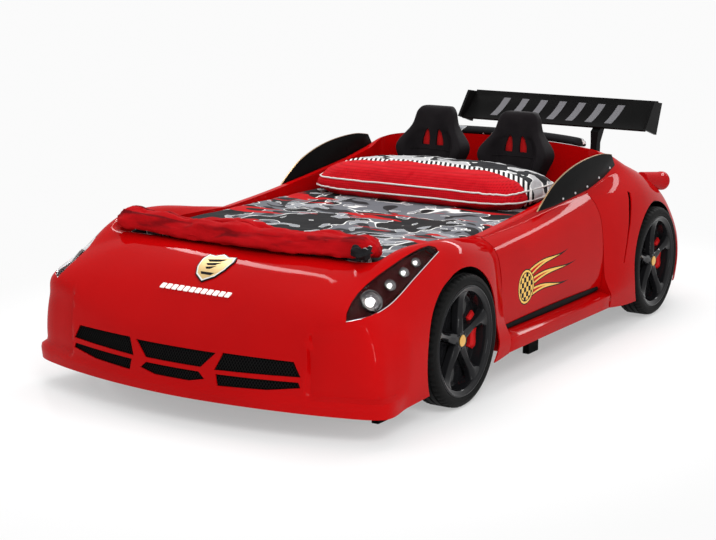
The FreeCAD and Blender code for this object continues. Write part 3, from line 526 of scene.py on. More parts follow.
class Nodes(Tree):
    """A material and its node tree."""

    def __init__(self, name, roughness=0.5, specular=0.1):
        self.material = bpy.data.materials.new(name)
        super().__init__(self.material)
        self.shader = self.tree.nodes["Principled BSDF"]
        self.place = self.node("ShaderNodeTexCoord").outputs["Object"]
        self.set("Roughness", roughness)
        self.set("Specular IOR Level", specular)

    def set(self, name, value):
        self.feed(self.shader.inputs[name], value)

    def add(self, a, b):
        return self.math("ADD", a, b)

    def less(self, a, b):
        return self.math("SUBTRACT", a, b)

    def times(self, a, b):
        return self.math("MULTIPLY", a, b)

    def gap(self, a, b):
        """How far one value lies from another."""
        return self.math("ABSOLUTE", self.less(a, b))

    def diagonal(self, a, b):
        return self.math("SQRT", self.add(self.math("POWER", a, 2.0), self.math("POWER", b, 2.0)))

    def step(self, value, low, high):
        """0 below low and 1 above high, smooth between."""
        ends = {"Value": value, "From Min": low, "From Max": high}
        node = self.node("ShaderNodeMapRange", ends, interpolation_type="SMOOTHSTEP")
        return node.outputs["Result"]

    def mix(self, share, a, b):
        a, b = [c if isinstance(c, bpy.types.NodeSocket) else (*c, 1) for c in (a, b)]
        node = self.node("ShaderNodeMix", {"Factor": share}, data_type="RGBA")
        self.feed(node.inputs[6], a)
        self.feed(node.inputs[7], b)
        return node.outputs[2]

    def line(self, value, level, wide, fine, under):
        """A white line over a colour, where a value comes close to a level."""
        return self.mix(self.step(self.gap(value, level), wide, fine), under, WHITE)

    def tint(self, pattern, a, b):
        self.set("Base Color", self.mix(pattern, a, b))

    def axes(self):
        return self.node("ShaderNodeSeparateXYZ", {0: self.place}).outputs

    def scaled(self, scale, turn=(0, 0, 0)):
        inputs = {"Vector": self.place, "Scale": scale, "Rotation": turn}
        return self.node("ShaderNodeMapping", inputs).outputs[0]

    def noise(self, scale, detail=3, vector=None, distortion=0):
        inputs = {"Vector": vector or self.place, "Scale": scale, "Detail": detail,
                  "Distortion": distortion}
        return self.node("ShaderNodeTexNoise", inputs).outputs["Fac"]

    def wave(self, scale, direction="X", vector=None):
        inputs = {"Vector": vector or self.place, "Scale": scale}
        return self.node("ShaderNodeTexWave", inputs, bands_direction=direction).outputs["Fac"]

    def bump(self, height, strength, distance):
        inputs = {"Strength": strength, "Distance": distance, "Height": height}
        self.set("Normal", self.node("ShaderNodeBump", inputs).outputs[0])

    def vary(self, name, low, high, scale):
        """A shader value that wanders between two numbers over the surface."""
        self.set(name, self.spread(self.noise(scale), low, high))

    def weave(self, scale=520, strength=0.35):
        """A fine plain weave over soft folds."""
        threads = self.times(self.wave(scale / 6.3), self.wave(scale / 6.3, "Y"))
        self.bump(self.add(self.times(threads, 0.06), self.noise(14, 4)), strength, 0.004)


def glossy(name, colour, shade, roughness=0.16, coat=0.32):
    """Moulded plastic with a lacquer: slow colour drift and a faint ripple."""
    n = Nodes(name, roughness, 0.0)
    n.tint(n.noise(3.0), colour, shade)
    n.set("Coat Weight", coat)
    n.set("Coat IOR", 1.28)
    n.set("Coat Roughness", 0.05)
    n.vary("Roughness", roughness * 0.85, roughness * 1.3, 14)
    n.bump(n.noise(22, 2), 0.25, 0.0006)
    return n


def chequer(n, u, v, cell):
    joined = n.node("ShaderNodeCombineXYZ", {0: u, 1: v, 2: 0.5 * cell}).outputs[0]
    return n.node("ShaderNodeTexChecker", {"Vector": joined, "Scale": 1 / cell}).outputs["Fac"]


def door_paint():
    """Red paint with a roundel of chequers and three tapered speed stripes behind it."""
    n = glossy("door paint", RED, DARK_RED)
    colour = n.shader.inputs["Base Color"].links[0].from_socket
    _, y, z = n.axes()
    along = n.less(y, EMBLEM_Y)
    rise = n.less(z, EMBLEM_Z)
    for k in (-1, 0, 1):
        share = n.math("DIVIDE", along, EMBLEM_TAIL - 0.045 * abs(k))
        bow = n.times(n.math("SINE", n.times(share, 4.2)), 0.009)
        slope = n.times(along, 0.10 + 0.07 * k)
        gap = n.gap(rise, n.add(n.add(slope, bow), 0.030 * k))
        half = n.times(n.less(1.0, share), 0.014)
        for border, paint in ((0.0035, BLACK), (0.0, GOLD), (-0.006, RED)):
            edge = n.less(n.add(half, border), gap)
            inside = n.times(n.step(edge, 0.0, 0.0008), n.step(along, 0.02, 0.021))
            colour = n.mix(inside, colour, paint)
    reach = n.diagonal(along, rise)
    board = n.mix(chequer(n, along, rise, EMBLEM_CELL), BLACK, GOLD)
    for radius, paint in (*EMBLEM_RINGS, (EMBLEM_BOARD_R, board)):
        colour = n.mix(n.step(reach, radius + 0.0005, radius - 0.0005), colour, paint)
    n.set("Base Color", colour)
    return n


def satin_black(name="satin black", roughness=0.38):
    n = Nodes(name, roughness, 0.015)
    n.tint(n.noise(6), (0.003, 0.003, 0.003), (0.008, 0.008, 0.008))
    n.vary("Roughness", roughness * 0.8, roughness * 1.2, 30)
    n.bump(n.noise(900, 2), 0.15, 0.0003)
    return n


def spoiler_print():
    n = Nodes("spoiler print", 0.5, 0.015)
    n.tint(n.noise(6), (0.13, 0.13, 0.14), (0.16, 0.16, 0.17))
    return n


def rubber():
    n = Nodes("tyre rubber", 0.6, 0.06)
    n.tint(n.noise(9), (0.003, 0.003, 0.003), (0.009, 0.009, 0.009))
    n.bump(n.noise(350, 4), 0.4, 0.0008)
    return n


def wood(name, light, dark, length_axis):
    n = Nodes(name)
    scale = [30.0, 30.0, 30.0]
    scale[length_axis] = 1.6
    grain = n.noise(1.0, 6, n.scaled(scale), 0.6)
    n.tint(grain, light, dark)
    n.bump(grain, 0.2, 0.001)
    return n


def metal(name, colour, roughness):
    n = Nodes(name, roughness)
    n.tint(n.noise(40), colour, [c * 0.8 for c in colour])
    n.set("Metallic", 1.0)
    n.vary("Roughness", roughness * 0.8, roughness * 1.4, 60)
    return n


def glowing(name, colour, strength):
    n = Nodes(name, 0.3)
    n.tint(n.noise(50), colour, [c * 0.9 for c in colour])
    n.set("Emission Color", (*colour, 1))
    n.set("Emission Strength", strength)
    return n


def clear_lens():
    n = Nodes("clear lens", 0.04)
    n.tint(n.noise(8), (0.96, 0.96, 0.97), (0.90, 0.90, 0.92))
    n.set("Transmission Weight", 1.0)
    n.set("IOR", 1.07)
    n.vary("Roughness", 0.01, 0.03, 12)
    return n


def mesh_black():
    """Black grille plate with a fine diamond mesh."""
    n = Nodes("grille mesh", 0.5, 0.0)
    cross = [n.wave(42, "X", n.scaled((1, 1, 1), (0, angle, 0))) for angle in (0.6, -0.6)]
    wires = n.math("MAXIMUM", *cross)
    n.tint(n.step(wires, 0.75, 0.9), (0.001, 0.001, 0.001), (0.010, 0.010, 0.010))
    n.bump(wires, 0.4, 0.003)
    return n


def seat_leather():
    n = Nodes("seat leather", 0.6, 0.05)
    n.tint(n.noise(20), (0.005, 0.004, 0.005), (0.014, 0.012, 0.013))
    n.bump(n.noise(420, 4), 0.35, 0.0012)
    return n


def cloth(name, colour, shade):
    n = Nodes(name, 0.85)
    n.tint(n.noise(18, 5), colour, shade)
    n.weave()
    return n


def printed(name, offset=0.0):
    """A print of grey and black flakes with white outlines, and red chips."""
    n = Nodes(name, 0.8)
    shift = {0: n.place, 1: (offset, offset * 0.7, 0)}
    place = n.node("ShaderNodeVectorMath", shift, operation="ADD").outputs[0]
    shapes = n.noise(4.6, 1.4, place, 1.1)
    small = n.noise(8.0, 1.2, place, 1.6)
    colour = n.mix(n.step(shapes, 0.50, 0.505), (0.012, 0.012, 0.013), (0.13, 0.135, 0.15))
    colour = n.mix(n.step(shapes, 0.60, 0.605), colour, (0.02, 0.02, 0.022))
    colour = n.line(shapes, 0.502, 0.009, 0.006, colour)
    colour = n.mix(n.step(small, 0.62, 0.624), colour, (0.27, 0.28, 0.30))
    colour = n.line(small, 0.62, 0.008, 0.005, colour)
    streaks = n.noise(6.0, 1.0, n.scaled((0.6, 2.2, 1.0)), 0.8)
    n.tint(n.step(streaks, 0.63, 0.636), colour, (0.42, 0.008, 0.010))
    n.weave()
    return n


def pillow_cloth():
    """Red cloth with a dotted weave, and a printed crown with a hatched band before it."""
    n = Nodes("pillow cloth", 0.8)
    y = n.axes()[1]
    dots = n.times(n.wave(40), n.wave(40, "Z"))
    colour = n.mix(n.step(dots, 0.35, 0.65), (0.50, 0.006, 0.012), (0.30, 0.003, 0.006))
    shapes = n.noise(9, 1.0, None, 1.0)
    crown = n.mix(n.step(shapes, 0.50, 0.506), (0.02, 0.02, 0.022), (0.45, 0.45, 0.46))
    crown = n.line(shapes, 0.505, 0.014, 0.010, crown)
    hatch = n.wave(34, "DIAGONAL", n.scaled((1, 0.5, 0)))
    band = n.mix(n.step(hatch, 0.45, 0.55), BLACK, WHITE)
    colour = n.mix(n.step(y, PILLOW_BAND_Y, PILLOW_BAND_Y + 0.002), colour, band)
    n.tint(n.step(y, PILLOW_CROWN_Y, PILLOW_CROWN_Y + 0.002), colour, crown)
    n.weave(480, 0.3)
    return n


def blanket_cloth():
    """Red cloth with dark red streaks along the roll, painted shade of its folds."""
    n = Nodes("blanket cloth", 0.82)
    base = n.mix(n.noise(7, 4), (0.50, 0.005, 0.008), (0.30, 0.002, 0.004))
    # Dark red streaks stretched along the roll: painted shade of the folds.
    streaks = n.step(n.noise(14, 3, n.scaled((0.18, 1.6, 1.6)), 0.6), 0.50, 0.66)
    n.tint(streaks, base, (0.12, 0.002, 0.004))
    n.weave(500, 0.5)
    return n


def paint_on(obj, look):
    obj.data.materials.clear()
    obj.data.materials.append(look.material)


def dress(look, *nodes):
    """Gives pieces of the frame a better material."""
    for node in nodes:
        obj = NODES[node]
        if not obj.material_slots:
            obj.data.materials.append(look.material)
        for holder in obj.material_slots:
            holder.material = look.material


def finish(obj, look, slot, *nodes, body="bed"):
    paint_on(obj, look)
    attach(obj, body)
    if nodes:
        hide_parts(*nodes)


def finish_pair(left, look, slot, node=None):
    """Finishes a left piece and its mirror image. The node is named without its side."""
    right = mirror_x(left, left.name.replace("_left", "_right"))
    for obj, (hand, _) in zip((left, right), SIDES):
        finish(obj, look, slot, *([node + "_" + hand] if node else []))


def finish_soft(obj, look, slot, fill, *nodes, body="bedding"):
    finish(obj, look, slot, *nodes, body=body)


# ---------------------------------------------------------------- camera and studio

CAMERA_PLACE = Vector((2.7532, -4.7000, 1.3364))
CAMERA_YAW = math.radians(31.961)
CAMERA_PITCH = math.radians(11.547)
CAMERA_ROLL = math.radians(0.576)
FOCAL_PIXELS = 1642.69
FRAME_WIDTH_PIXELS = 716
STUDIO_WHITE = (0.963, 0.963, 0.963, 1)
SOFT_LIGHT = 0.42
FLOOR_HALF = 14
FLOOR_Z = -0.0005
FLOOR_GLOW = 0.38

# Name, place, target, width, height, power, and whether a reflection shows it.
SOFTBOXES = [
    ("key", (3.4, -3.6, 3.6), (0, 0, 0.2), 2.6, 1.8, 150, False),
    ("top", (-0.4, 0.3, 3.8), (0, 0, 0), 3.6, 2.2, 90, False),
    ("nose", (-4.4, -3.4, 2.4), (0, -0.6, 0.3), 2.0, 1.6, 42, False),
    ("side strip", (3.6, -2.3, 0.9), (0.5, -1.0, 0.3), 0.2, 1.5, 22, True),
    ("back strip", (0.6, 3.2, 2.1), (0.3, 0, 0.4), 2.6, 0.25, 30, True),
    ("roof strip", (-2.2, 0.8, 3.0), (0, -0.6, 0.4), 0.22, 2.4, 26, True),
]


def make_camera():
    data = bpy.data.cameras.new("camera")
    data.sensor_width = 36
    data.lens = FOCAL_PIXELS / FRAME_WIDTH_PIXELS * 36
    camera = new_object("camera", data)
    ahead = Vector((-math.sin(CAMERA_YAW) * math.cos(CAMERA_PITCH),
                    math.cos(CAMERA_YAW) * math.cos(CAMERA_PITCH), -math.sin(CAMERA_PITCH)))
    level = ahead.cross(Z).normalized()
    above = level.cross(ahead)
    right = level * math.cos(CAMERA_ROLL) + above * math.sin(CAMERA_ROLL)
    turn = Matrix((right, right.cross(ahead), -ahead)).transposed()
    camera.matrix_world = Matrix.Translation(CAMERA_PLACE) @ turn.to_4x4()
    bpy.context.scene.camera = camera


def softbox(name, place, target, width, height, power, mirrored):
    data = bpy.data.lights.new(name, "AREA")
    data.shape = "RECTANGLE"
    data.size = width
    data.size_y = height
    data.energy = power
    light = new_object(name, data)
    light.visible_glossy = mirrored
    light.location = place
    light.rotation_euler = (Vector(target) - Vector(place)).to_track_quat("-Z", "Y").to_euler()


def make_backdrop():
    """A world that lights softly and shows white."""
    world = bpy.data.worlds.new("studio")
    bpy.context.scene.world = world
    tree = Tree(world)
    background = world.node_tree.nodes["Background"].inputs
    tree.feed(background["Color"], STUDIO_WHITE)
    tree.feed(background["Strength"], tree.spread(tree.seen_directly(), SOFT_LIGHT, 1.0))


def make_floor():
    """A pale floor that keeps the bed's shadow, and glows white further away."""
    ends = (-FLOOR_HALF, FLOOR_HALF)
    floor = net_sheet("floor", [[Vector((x, y, FLOOR_Z)) for x in ends] for y in ends])
    n = Nodes("floor", 0.9)
    n.tint(n.noise(2.0), (0.95, 0.95, 0.95), (0.93, 0.93, 0.93))
    x, y, _ = n.axes()
    away = n.step(n.diagonal(n.times(x, 1.5), y), 0.9, 2.6)
    share = n.times(n.seen_directly(), n.spread(away, FLOOR_GLOW, 1.0))
    glow = n.node("ShaderNodeEmission", {"Color": STUDIO_WHITE}).outputs[0]
    blend = n.node("ShaderNodeMixShader", {0: share, 1: n.shader.outputs[0], 2: glow})
    n.feed(n.tree.nodes["Material Output"].inputs["Surface"], blend.outputs[0])
    paint_on(floor, n)


def make_studio():
    bpy.context.scene.view_settings.view_transform = "Standard"
    make_backdrop()
    make_floor()
    for settings in SOFTBOXES:
        softbox(*settings)


# ---------------------------------------------------------------- body

HOOD_WAY = Vector((0, -0.56, 0.83)).normalized()
BADGE_PLACE = (0, -140, 412)
SHIELD = [(0, -70), (34, -46), (50, -14), (56, 26), (48, 50), (24, 46), (0, 60),
          (-24, 46), (-48, 50), (-56, 26), (-50, -14), (-34, -46)]
# A plain motif for the shield: a wing of three blades over a bar.
SHIELD_MOTIF = [[(-34, 22), (30, 34), (12, 18), (-22, 12)], [(-28, 4), (20, 14), (6, 0), (-18, -4)],
                [(-20, -12), (12, -4), (0, -18), (-12, -20)],
                [(-24, -32), (24, -32), (16, -42), (-16, -42)]]

# The block behind the grille and the tail's opening for the switch housing, as (x, z).
GRILLE_BLOCK = rectangle(0.40, 0.128, 0.229)
SWITCH_OPENING = rectangle(0.033, 0.214, 0.250)

# Walls at the flared wing ends, as (x, z) in millimetres.
FLARE_FRONT = [(587, 100), (591, 146), (565, 205), (552, 320), (536, 320), (536, 100)]
FLARE_REAR = [(589, 100), (593, 146), (567, 205), (556, 330), (538, 330), (538, 100)]

# The padded strip's section in millimetres: back from the rim, and up.
BOLSTER_SECTION = [(2, 0), (30, 0), (60, 0), (60, 12), (54, 23), (42, 29), (26, 31), (11, 27), (2, 17)]
BOLSTER_HALF = 0.345
LINER_SECTION = [(0.578, 0.2158), (0.483, 0.2158), (0.483, 0.12)]


def inlay(name, base, cutter, shift):
    """What a moulding has inside a cutter, shifted, as a piece of its own."""
    piece = cut(new_object(name, base.copy()), [cutter], "INTERSECT")
    piece.data.transform(Matrix.Translation(shift))
    return smooth(piece)


def make_front(paint):
    net = nose_relief(body_net(FRONT_STATIONS, front_point, True, 4))
    shell = moulding("front_body", net, Vector((0, -0.85, 0.2)))
    base = shell.data.copy()
    lamp = lamp_cutter(0.0)
    cutters = [arch_cutter(FRONT_AXLE), arch_cutter(FRONT_AXLE, 0.022), lamp, mirror_x(lamp, "punch")]
    for outline in (GRILLE_CENTRE, GRILLE_OUTER, INTAKE_CENTRE, INTAKE_OUTER):
        cutters.append(nose_cutter(outline))
        if outline in (GRILLE_OUTER, INTAKE_OUTER):
            cutters.append(nose_cutter([(-x, z) for x, z in outline]))
    finish(smooth(cut(shell, cutters)), paint, "body_red", "front_shell")
    lens = inlay("headlamp_cover_left", base, lamp_cutter(0.0006), Vector())
    finish_pair(lens, clear_lens(), "lens", "headlamp_lens")
    block = prism_along_y("block", GRILLE_BLOCK, NOSE_Y, OPENING_DEPTH)
    backing = inlay("grille_backing", base, block, Y * 0.007)
    finish(backing, mesh_black(), "black_satin", "grille_mesh")
    make_badge(base)


def make_badge(base):
    """Thin layers that follow the hood: a dark rim, a pale line, a gold field and a motif."""
    gold = metal("badge gold", (0.78, 0.55, 0.25), 0.35)
    black = glossy("badge black", BLACK, (0.015, 0.015, 0.016))
    white = glossy("badge white", WHITE, (0.6, 0.6, 0.58))
    layers = [("rim", SHIELD, 1.0, 0.0041, black), ("line", SHIELD, 0.94, 0.0044, white),
              ("field", SHIELD, 0.86, 0.0047, gold)]
    layers += [("motif_%d" % k, outline, 1.0, 0.0050, black) for k, outline in enumerate(SHIELD_MOTIF)]
    up = HOOD_WAY.cross(X)
    middle = front_point(*BADGE_PLACE) - HOOD_WAY * 0.03
    for name, outline, factor, lift, look in layers:
        size = factor / 1000
        points = [middle + X * x * size + up * z * size for x, z in outline]
        layer = inlay("badge_" + name, base, prism("punch", points, HOOD_WAY * 0.06), HOOD_WAY * lift)
        finish(layer, look, "gold", *(["hood_badge"] if name == "rim" else []))


def make_sides(paint):
    inside = Vector((0, 0, 0.3))
    panel = smooth(moulding("door_body_left", body_net(SIDE_STATIONS, seam_point, False), inside))
    finish_pair(panel, door_paint(), "body_red", "side_panel")
    rows = [[seam_point(*p) for p in row] for row in SILL_STATIONS]
    sill = bevelled(moulding("sill_body_left", smooth_net(rows, 2, 0), inside), 0.006, 3, 25)
    finish_pair(smooth(sill), paint, "body_red", "sill")


def make_flare_walls(paint):
    """Closes the flared ends of the wings, which stand out past the doors."""
    for end, y, depth, outline in (("front", FRONT_SEAM - 0.0015, -0.003, FLARE_FRONT),
                                   ("rear", REAR_SEAM + 0.0015, 0.003, FLARE_REAR)):
        metres = [(x / 1000, z / 1000) for x, z in outline]
        wall = prism_along_y("flare_wall_%s_left" % end, metres, y, depth)
        finish_pair(bevelled(wall, 0.0008, 2, 40), paint, "body_red")


def make_duct_trim(black):
    """A black blade along the door's foot, thickest in its middle."""
    rows = []
    for k in range(33):
        share = k / 32
        fat = 0.0035 + 0.0065 * math.sin(math.pi * (0.08 + 0.84 * share)) ** 0.7
        foot = seam_point(556 + 1.5 * share, 0.012 + 0.95 * share, 169)
        rows.append([foot + Vector((a, 0, b)) for a, b in
                     ((-0.004, -fat), (0.0035, -fat), (0.0048, -fat * 0.3), (0.0048, fat * 0.6),
                      (0.0030, fat), (-0.004, fat))])
    finish_pair(smooth(net_sheet("duct_trim_left", rows, closed=True), 45), black, "black_satin")


def make_rear(paint, black):
    net = body_net(REAR_STATIONS, rear_point, True)
    shell = moulding("rear_body", net, Vector((0, 0.95, 0.25)))
    vent = prism("vent", [Vector((0.64, WELL_REAR + y / 1000, z / 1000)) for y, z in VENT], X * -0.13)
    hole = prism_along_y("hole", SWITCH_OPENING, 1.11, 0.08)
    cut(shell, [arch_cutter(REAR_AXLE), vent, mirror_x(vent, "vent"), hole])
    finish(smooth(shell), paint, "body_red", "rear_shell")
    points = [Vector((0.535, WELL_REAR + y / 1000, z / 1000)) for y, z in VENT_BACKING]
    backing = bevelled(prism("vent_backing_left", points, X * 0.006), 0.0015)
    finish_pair(smooth(backing), black, "black_satin")
    return net


def make_bolster(net, look):
    """The padded strip on the back wall's top, along the rear moulding's rim."""
    rows = []
    for row in net:
        before, rim = row[-4:-2]
        if abs(rim.x) > BOLSTER_HALF:
            continue
        back = (before - rim).normalized()
        across = X - back * back.x
        rise = back.cross(across).normalized()
        if rise.z < 0:
            rise.negate()
        rows.append([rim + back * (b / 1000) + rise * (a / 1000 + 0.0008) for b, a in BOLSTER_SECTION])
    bolster = smooth(subdivided(net_sheet("bolster_pad", rows, closed=True)), 60)
    finish_soft(bolster, look, "print_grey", 0.8, "rear_bolster", body="bed")


def make_arch_liners(look):
    """Dark wheel wells behind the arches, closed towards the bed frame."""
    for axle_y, end in ((FRONT_AXLE, "front"), (REAR_AXLE, "rear")):
        for name, side in SIDES:
            rows = []
            for k in range(41):
                angle = math.radians(-22 + k * 224 / 40)
                c = math.cos(angle)
                s = math.sin(angle)
                rows.append([Vector((side * x, axle_y + r * c, AXLE_Z + r * s))
                             for x, r in LINER_SECTION])
            liner = walled(net_sheet("arch_liner_%s_%s" % (end, name), rows), 0.0015)
            finish(smooth(liner), look, "black_satin")


# ---------------------------------------------------------------- wheels

# Profiles as (distance out from the car's middle, radius), in metres.
TYRE_PROFILE = [(0.512, 0.1633), (0.512, 0.180), (0.514, 0.190), (0.521, 0.195), (0.532, 0.195),
                (0.533, 0.191), (0.538, 0.191), (0.539, 0.195), (0.553, 0.195), (0.554, 0.191),
                (0.559, 0.191), (0.560, 0.195), (0.574, 0.195), (0.575, 0.191), (0.580, 0.191),
                (0.581, 0.195), (0.590, 0.1935), (0.597, 0.188), (0.6005, 0.180), (0.6008, 0.1755),
                (0.5995, 0.1748), (0.600, 0.1700), (0.5985, 0.1655), (0.596, 0.1633), (0.512, 0.1633)]
RIM_PROFILE = [(0.544, 0.0), (0.544, 0.163), (0.5975, 0.163), (0.5990, 0.1610), (0.5990, 0.1585),
               (0.5970, 0.1565), (0.5955, 0.1500), (0.5940, 0.1460), (0.5900, 0.1435), (0.575, 0.1425),
               (0.560, 0.1415), (0.554, 0.1400), (0.552, 0.1360), (0.552, 0.0)]
HUB_PROFILE = [(0.478, 0.039), (0.544, 0.039), (0.544, 0.0)]
BOSS_PROFILE = [(0.552, 0.030), (0.580, 0.030), (0.585, 0.026), (0.5855, 0.018), (0.584, 0.0)]
CAP_PROFILE = [(0.584, 0.0175), (0.5875, 0.0172), (0.589, 0.015), (0.5885, 0.0125), (0.5893, 0.009),
               (0.5898, 0.0)]
CALIPER_SECTION = [(0.5525, 0.094), (0.562, 0.094), (0.5655, 0.099), (0.5655, 0.122), (0.562, 0.127),
                   (0.5525, 0.127)]
# Along a spoke: radius, half width, crown and face. Across it: share of the half width, and rise.
SPOKE_ROWS = [(0.022, 0.017, 0.004, 0.582), (0.046, 0.0155, 0.006, 0.580),
              (0.074, 0.0120, 0.007, 0.578), (0.102, 0.0130, 0.006, 0.580),
              (0.126, 0.0190, 0.004, 0.585), (0.1445, 0.0330, 0.001, 0.591)]
SPOKE_EDGE = [(-1, -0.022), (-1, -0.006), (-0.72, 0.0)]
SPOKES = 5
TREAD_BLOCKS = 60
TREAD_MIDDLE = 0.556
TREAD_RIB = 0.022
NOTCH_R = 0.1925
NOTCH_SHARE = 0.26
NOTCH_DEPTH = 0.0035


def make_tyre(name, axle, side):
    """A grooved tyre, with notches between the tread blocks on its shoulders."""
    tyre = lathe(name, TYRE_PROFILE, axle, side, 4 * TREAD_BLOCKS)
    for vertex in tyre.data.vertices:
        offset = Vector((0, vertex.co.y - axle.y, vertex.co.z - axle.z))
        turn = math.atan2(offset.z, offset.y) / math.tau * TREAD_BLOCKS
        shoulder = abs(abs(vertex.co.x) - TREAD_MIDDLE) > TREAD_RIB
        if offset.length > NOTCH_R and shoulder and (turn % 1.0) < NOTCH_SHARE:
            vertex.co -= offset.normalized() * NOTCH_DEPTH
    return smooth(tyre, 40)


def spoke_net(angle):
    """One tapered, crowned spoke from hub to barrel."""
    out = Vector((0, math.cos(angle), math.sin(angle)))
    across = Vector((0, -math.sin(angle), math.cos(angle)))
    rows = []
    for r, half, crown, face in SPOKE_ROWS:
        section = SPOKE_EDGE + [(0, crown)] + [(-share, rise) for share, rise in SPOKE_EDGE[::-1]]
        rows.append([X * (face + rise) + out * r + across * share * half for share, rise in section])
    return rows


def make_rim(name, axle, side):
    """Barrel, hub, five spokes and five wheel bolts as one casting."""
    pieces = [lathe("barrel", RIM_PROFILE, Vector(), 1, 128), lathe("hub", HUB_PROFILE, Vector(), 1, 64),
              lathe("boss", BOSS_PROFILE, Vector(), 1, 64)]
    for k in range(SPOKES):
        net = smooth_net(spoke_net(math.pi / 2 + k * math.tau / SPOKES), 2, 2)
        pieces.append(net_sheet("spoke", net, closed=True))
        angle = math.pi / 2 + (k + 0.5) * math.tau / SPOKES
        bolt = Vector((0.583, 0.023 * math.cos(angle), 0.023 * math.sin(angle)))
        pieces.append(tube("bolt", bolt, bolt + X * 0.004, 0.0032, 0.0028, 12))
    rim = join(name, pieces)
    rim.data.transform(Matrix.Translation(axle) @ Matrix.Scale(side, 4, X))
    return smooth(recalc(rim), 38)


def make_caliper(name, axle, side):
    """A caliper seen between the spokes: a curved block with two piston swells."""
    seat = CALIPER_SECTION[0][0]
    rows = []
    for k in range(13):
        angle = math.radians(-24 + k * 4.6)
        edge = 0.5 if k in (0, 12) else 1.0
        row = []
        for x, r in CALIPER_SECTION:
            out = seat + (x - seat) * edge * (1 + 0.12 * math.sin(k * 1.05))
            row.append(axle + Vector((side * out, r * math.cos(angle), r * math.sin(angle))))
        rows.append(row)
    return smooth(net_sheet(name, rows, closed=True), 40)


def make_cap(name, axle, side):
    return smooth(lathe(name, CAP_PROFILE, axle, side, 48), 30)


def make_wheels():
    """Four wheels. Each frame node holds all four copies of a part."""
    parts = [("tyre", "tyres", make_tyre, rubber(), "tyre"),
             ("rim", "rims", make_rim, glossy("wheel black", BLACK, (0.010, 0.010, 0.011), 0.08, 0.9),
              "black_gloss"),
             ("caliper", "brake_calipers", make_caliper,
              glossy("caliper red", (0.55, 0.01, 0.012), (0.4, 0.01, 0.01)), "caliper_red"),
             ("cap", "wheel_caps", make_cap, metal("cap gold", (0.85, 0.50, 0.14), 0.3), "gold")]
    for part, node, make, look, slot in parts:
        for end, axle_y in (("front", FRONT_AXLE), ("rear", REAR_AXLE)):
            for hand, side in SIDES:
                name = "%s_%s_%s" % (part, end, hand)
                finish(make(name, Vector((0, axle_y, AXLE_Z)), side), look, slot, node)


# ---------------------------------------------------------------- windows, spoiler, lamps

# Side window as (y, z) in millimetres from the well's rear: its curved top, then its foot.
WINDOW_TOP = [(-604, 474), (-500, 541), (-372, 583), (-240, 603), (-110, 607), (-25, 596)]
WINDOW_FOOT = [(6, 556), (-85, 525), (-215, 498), (-350, 486), (-480, 476)]
WINDOW_SCREWS = [(-40, 552), (-130, 528), (-225, 509), (-320, 499), (-415, 492)]
WINDOW_X = 494.6
WINDOW_THICK = 0.004

# The wing's lower and upper edge, as (y from the well's rear, z), and its sag between them.
WING_LOW = (0.525, 0.622)
WING_HIGH = (0.649, 0.722)
WING_SAG = 0.0126
BAR_COUNT = 7
BAR_START = -0.285
BAR_PITCH = 0.082
BAR_WIDTH = 0.030
BAR_SLANT = 0.034
SPOILER_NODES = ("spoiler_wing", "spoiler_end_plate_left", "spoiler_end_plate_right",
                 "spoiler_pylon_left", "spoiler_pylon_right")

# Lamps along the headlamp, in millimetres from the well's front, with radii in metres.
LAMP_BOWLS = [(527, -138, 384, 0.032), (534, -55, 413, 0.017), (537, 12, 437, 0.015),
              (538, 74, 455, 0.014)]
# An open dish with a rolled rim, as shares of its radius: (along the lamp, across).
DISH = [(-0.70, 0.60), (-0.40, 0.97), (-0.04, 1.0), (0.0, 0.97), (-0.03, 0.93), (-0.22, 0.86),
        (-0.42, 0.66), (-0.52, 0.40), (-0.54, 0.02)]
POD_RINGS = [(0.0, 0.030), (0.08, 0.032), (0.118, 0.033), (0.123, 0.0345), (0.136, 0.0345),
             (0.141, 0.032), (0.146, 0.028), (0.147, 0.024), (0.144, 0.021), (0.149, 0.012),
             (0.150, 0.001)]


def make_windows(steel):
    """Black panes on the raised rim, a trim along their tops and five screws in each."""
    top = smooth_path([rear_point(WINDOW_X, y, z) for y, z in WINDOW_TOP])
    foot = [rear_point(WINDOW_X, y, z) for y, z in WINDOW_FOOT]
    pane = smooth(bevelled(prism("window_left", top + foot, X * WINDOW_THICK), 0.0012, 2, 40))
    finish_pair(pane, satin_black("window black", 0.3), "black_satin", "side_window")
    corners = [(-0.0003, 0.0002), (0.0043, 0.0002), (0.0043, 0.0014), (-0.0003, 0.0014)]
    rows = [[p + Vector((a, 0, b)) for a, b in corners] for p in top]
    trim = net_sheet("window_trim_left", rows, closed=True)
    finish_pair(trim, metal("window trim", (0.42, 0.28, 0.15), 0.35), "gold")
    screws = []
    for y, z in WINDOW_SCREWS:
        place = rear_point(498.4, y, z)
        screws.append(tube("screw", place, place + X * 0.0026, 0.0048, 0.0034, 20))
    finish_pair(join("window_screws_left", screws), steel, "steel")


def make_spoiler():
    """Bevels on the frame's own spoiler, and a plain bar pattern on its wing."""
    dress(satin_black("spoiler black", 0.32), *SPOILER_NODES)
    for node in SPOILER_NODES:
        add_bevel(NODES[node], 0.0025, 3, 28)
    low, high = [Vector((0, WELL_REAR + y, z)) for y, z in (WING_LOW, WING_HIGH)]
    along = (high - low).normalized()
    out = Vector((0, along.z, -along.y))
    bars = []
    for k in range(BAR_COUNT):
        rows = []
        for share in (0.18, 0.34, 0.5, 0.66, 0.82):
            sag = out * (WING_SAG * (1 - (2 * share - 1) ** 2) - 0.0006)
            left = low.lerp(high, share) + sag + X * (BAR_START + k * BAR_PITCH + BAR_SLANT * share)
            rows.append([left, left + X * BAR_WIDTH])
        bars.append(walled(net_sheet("bar", smooth_net(rows, 1, 0)), 0.0003))
    finish(join("spoiler_bars", bars), spoiler_print(), "black_satin")


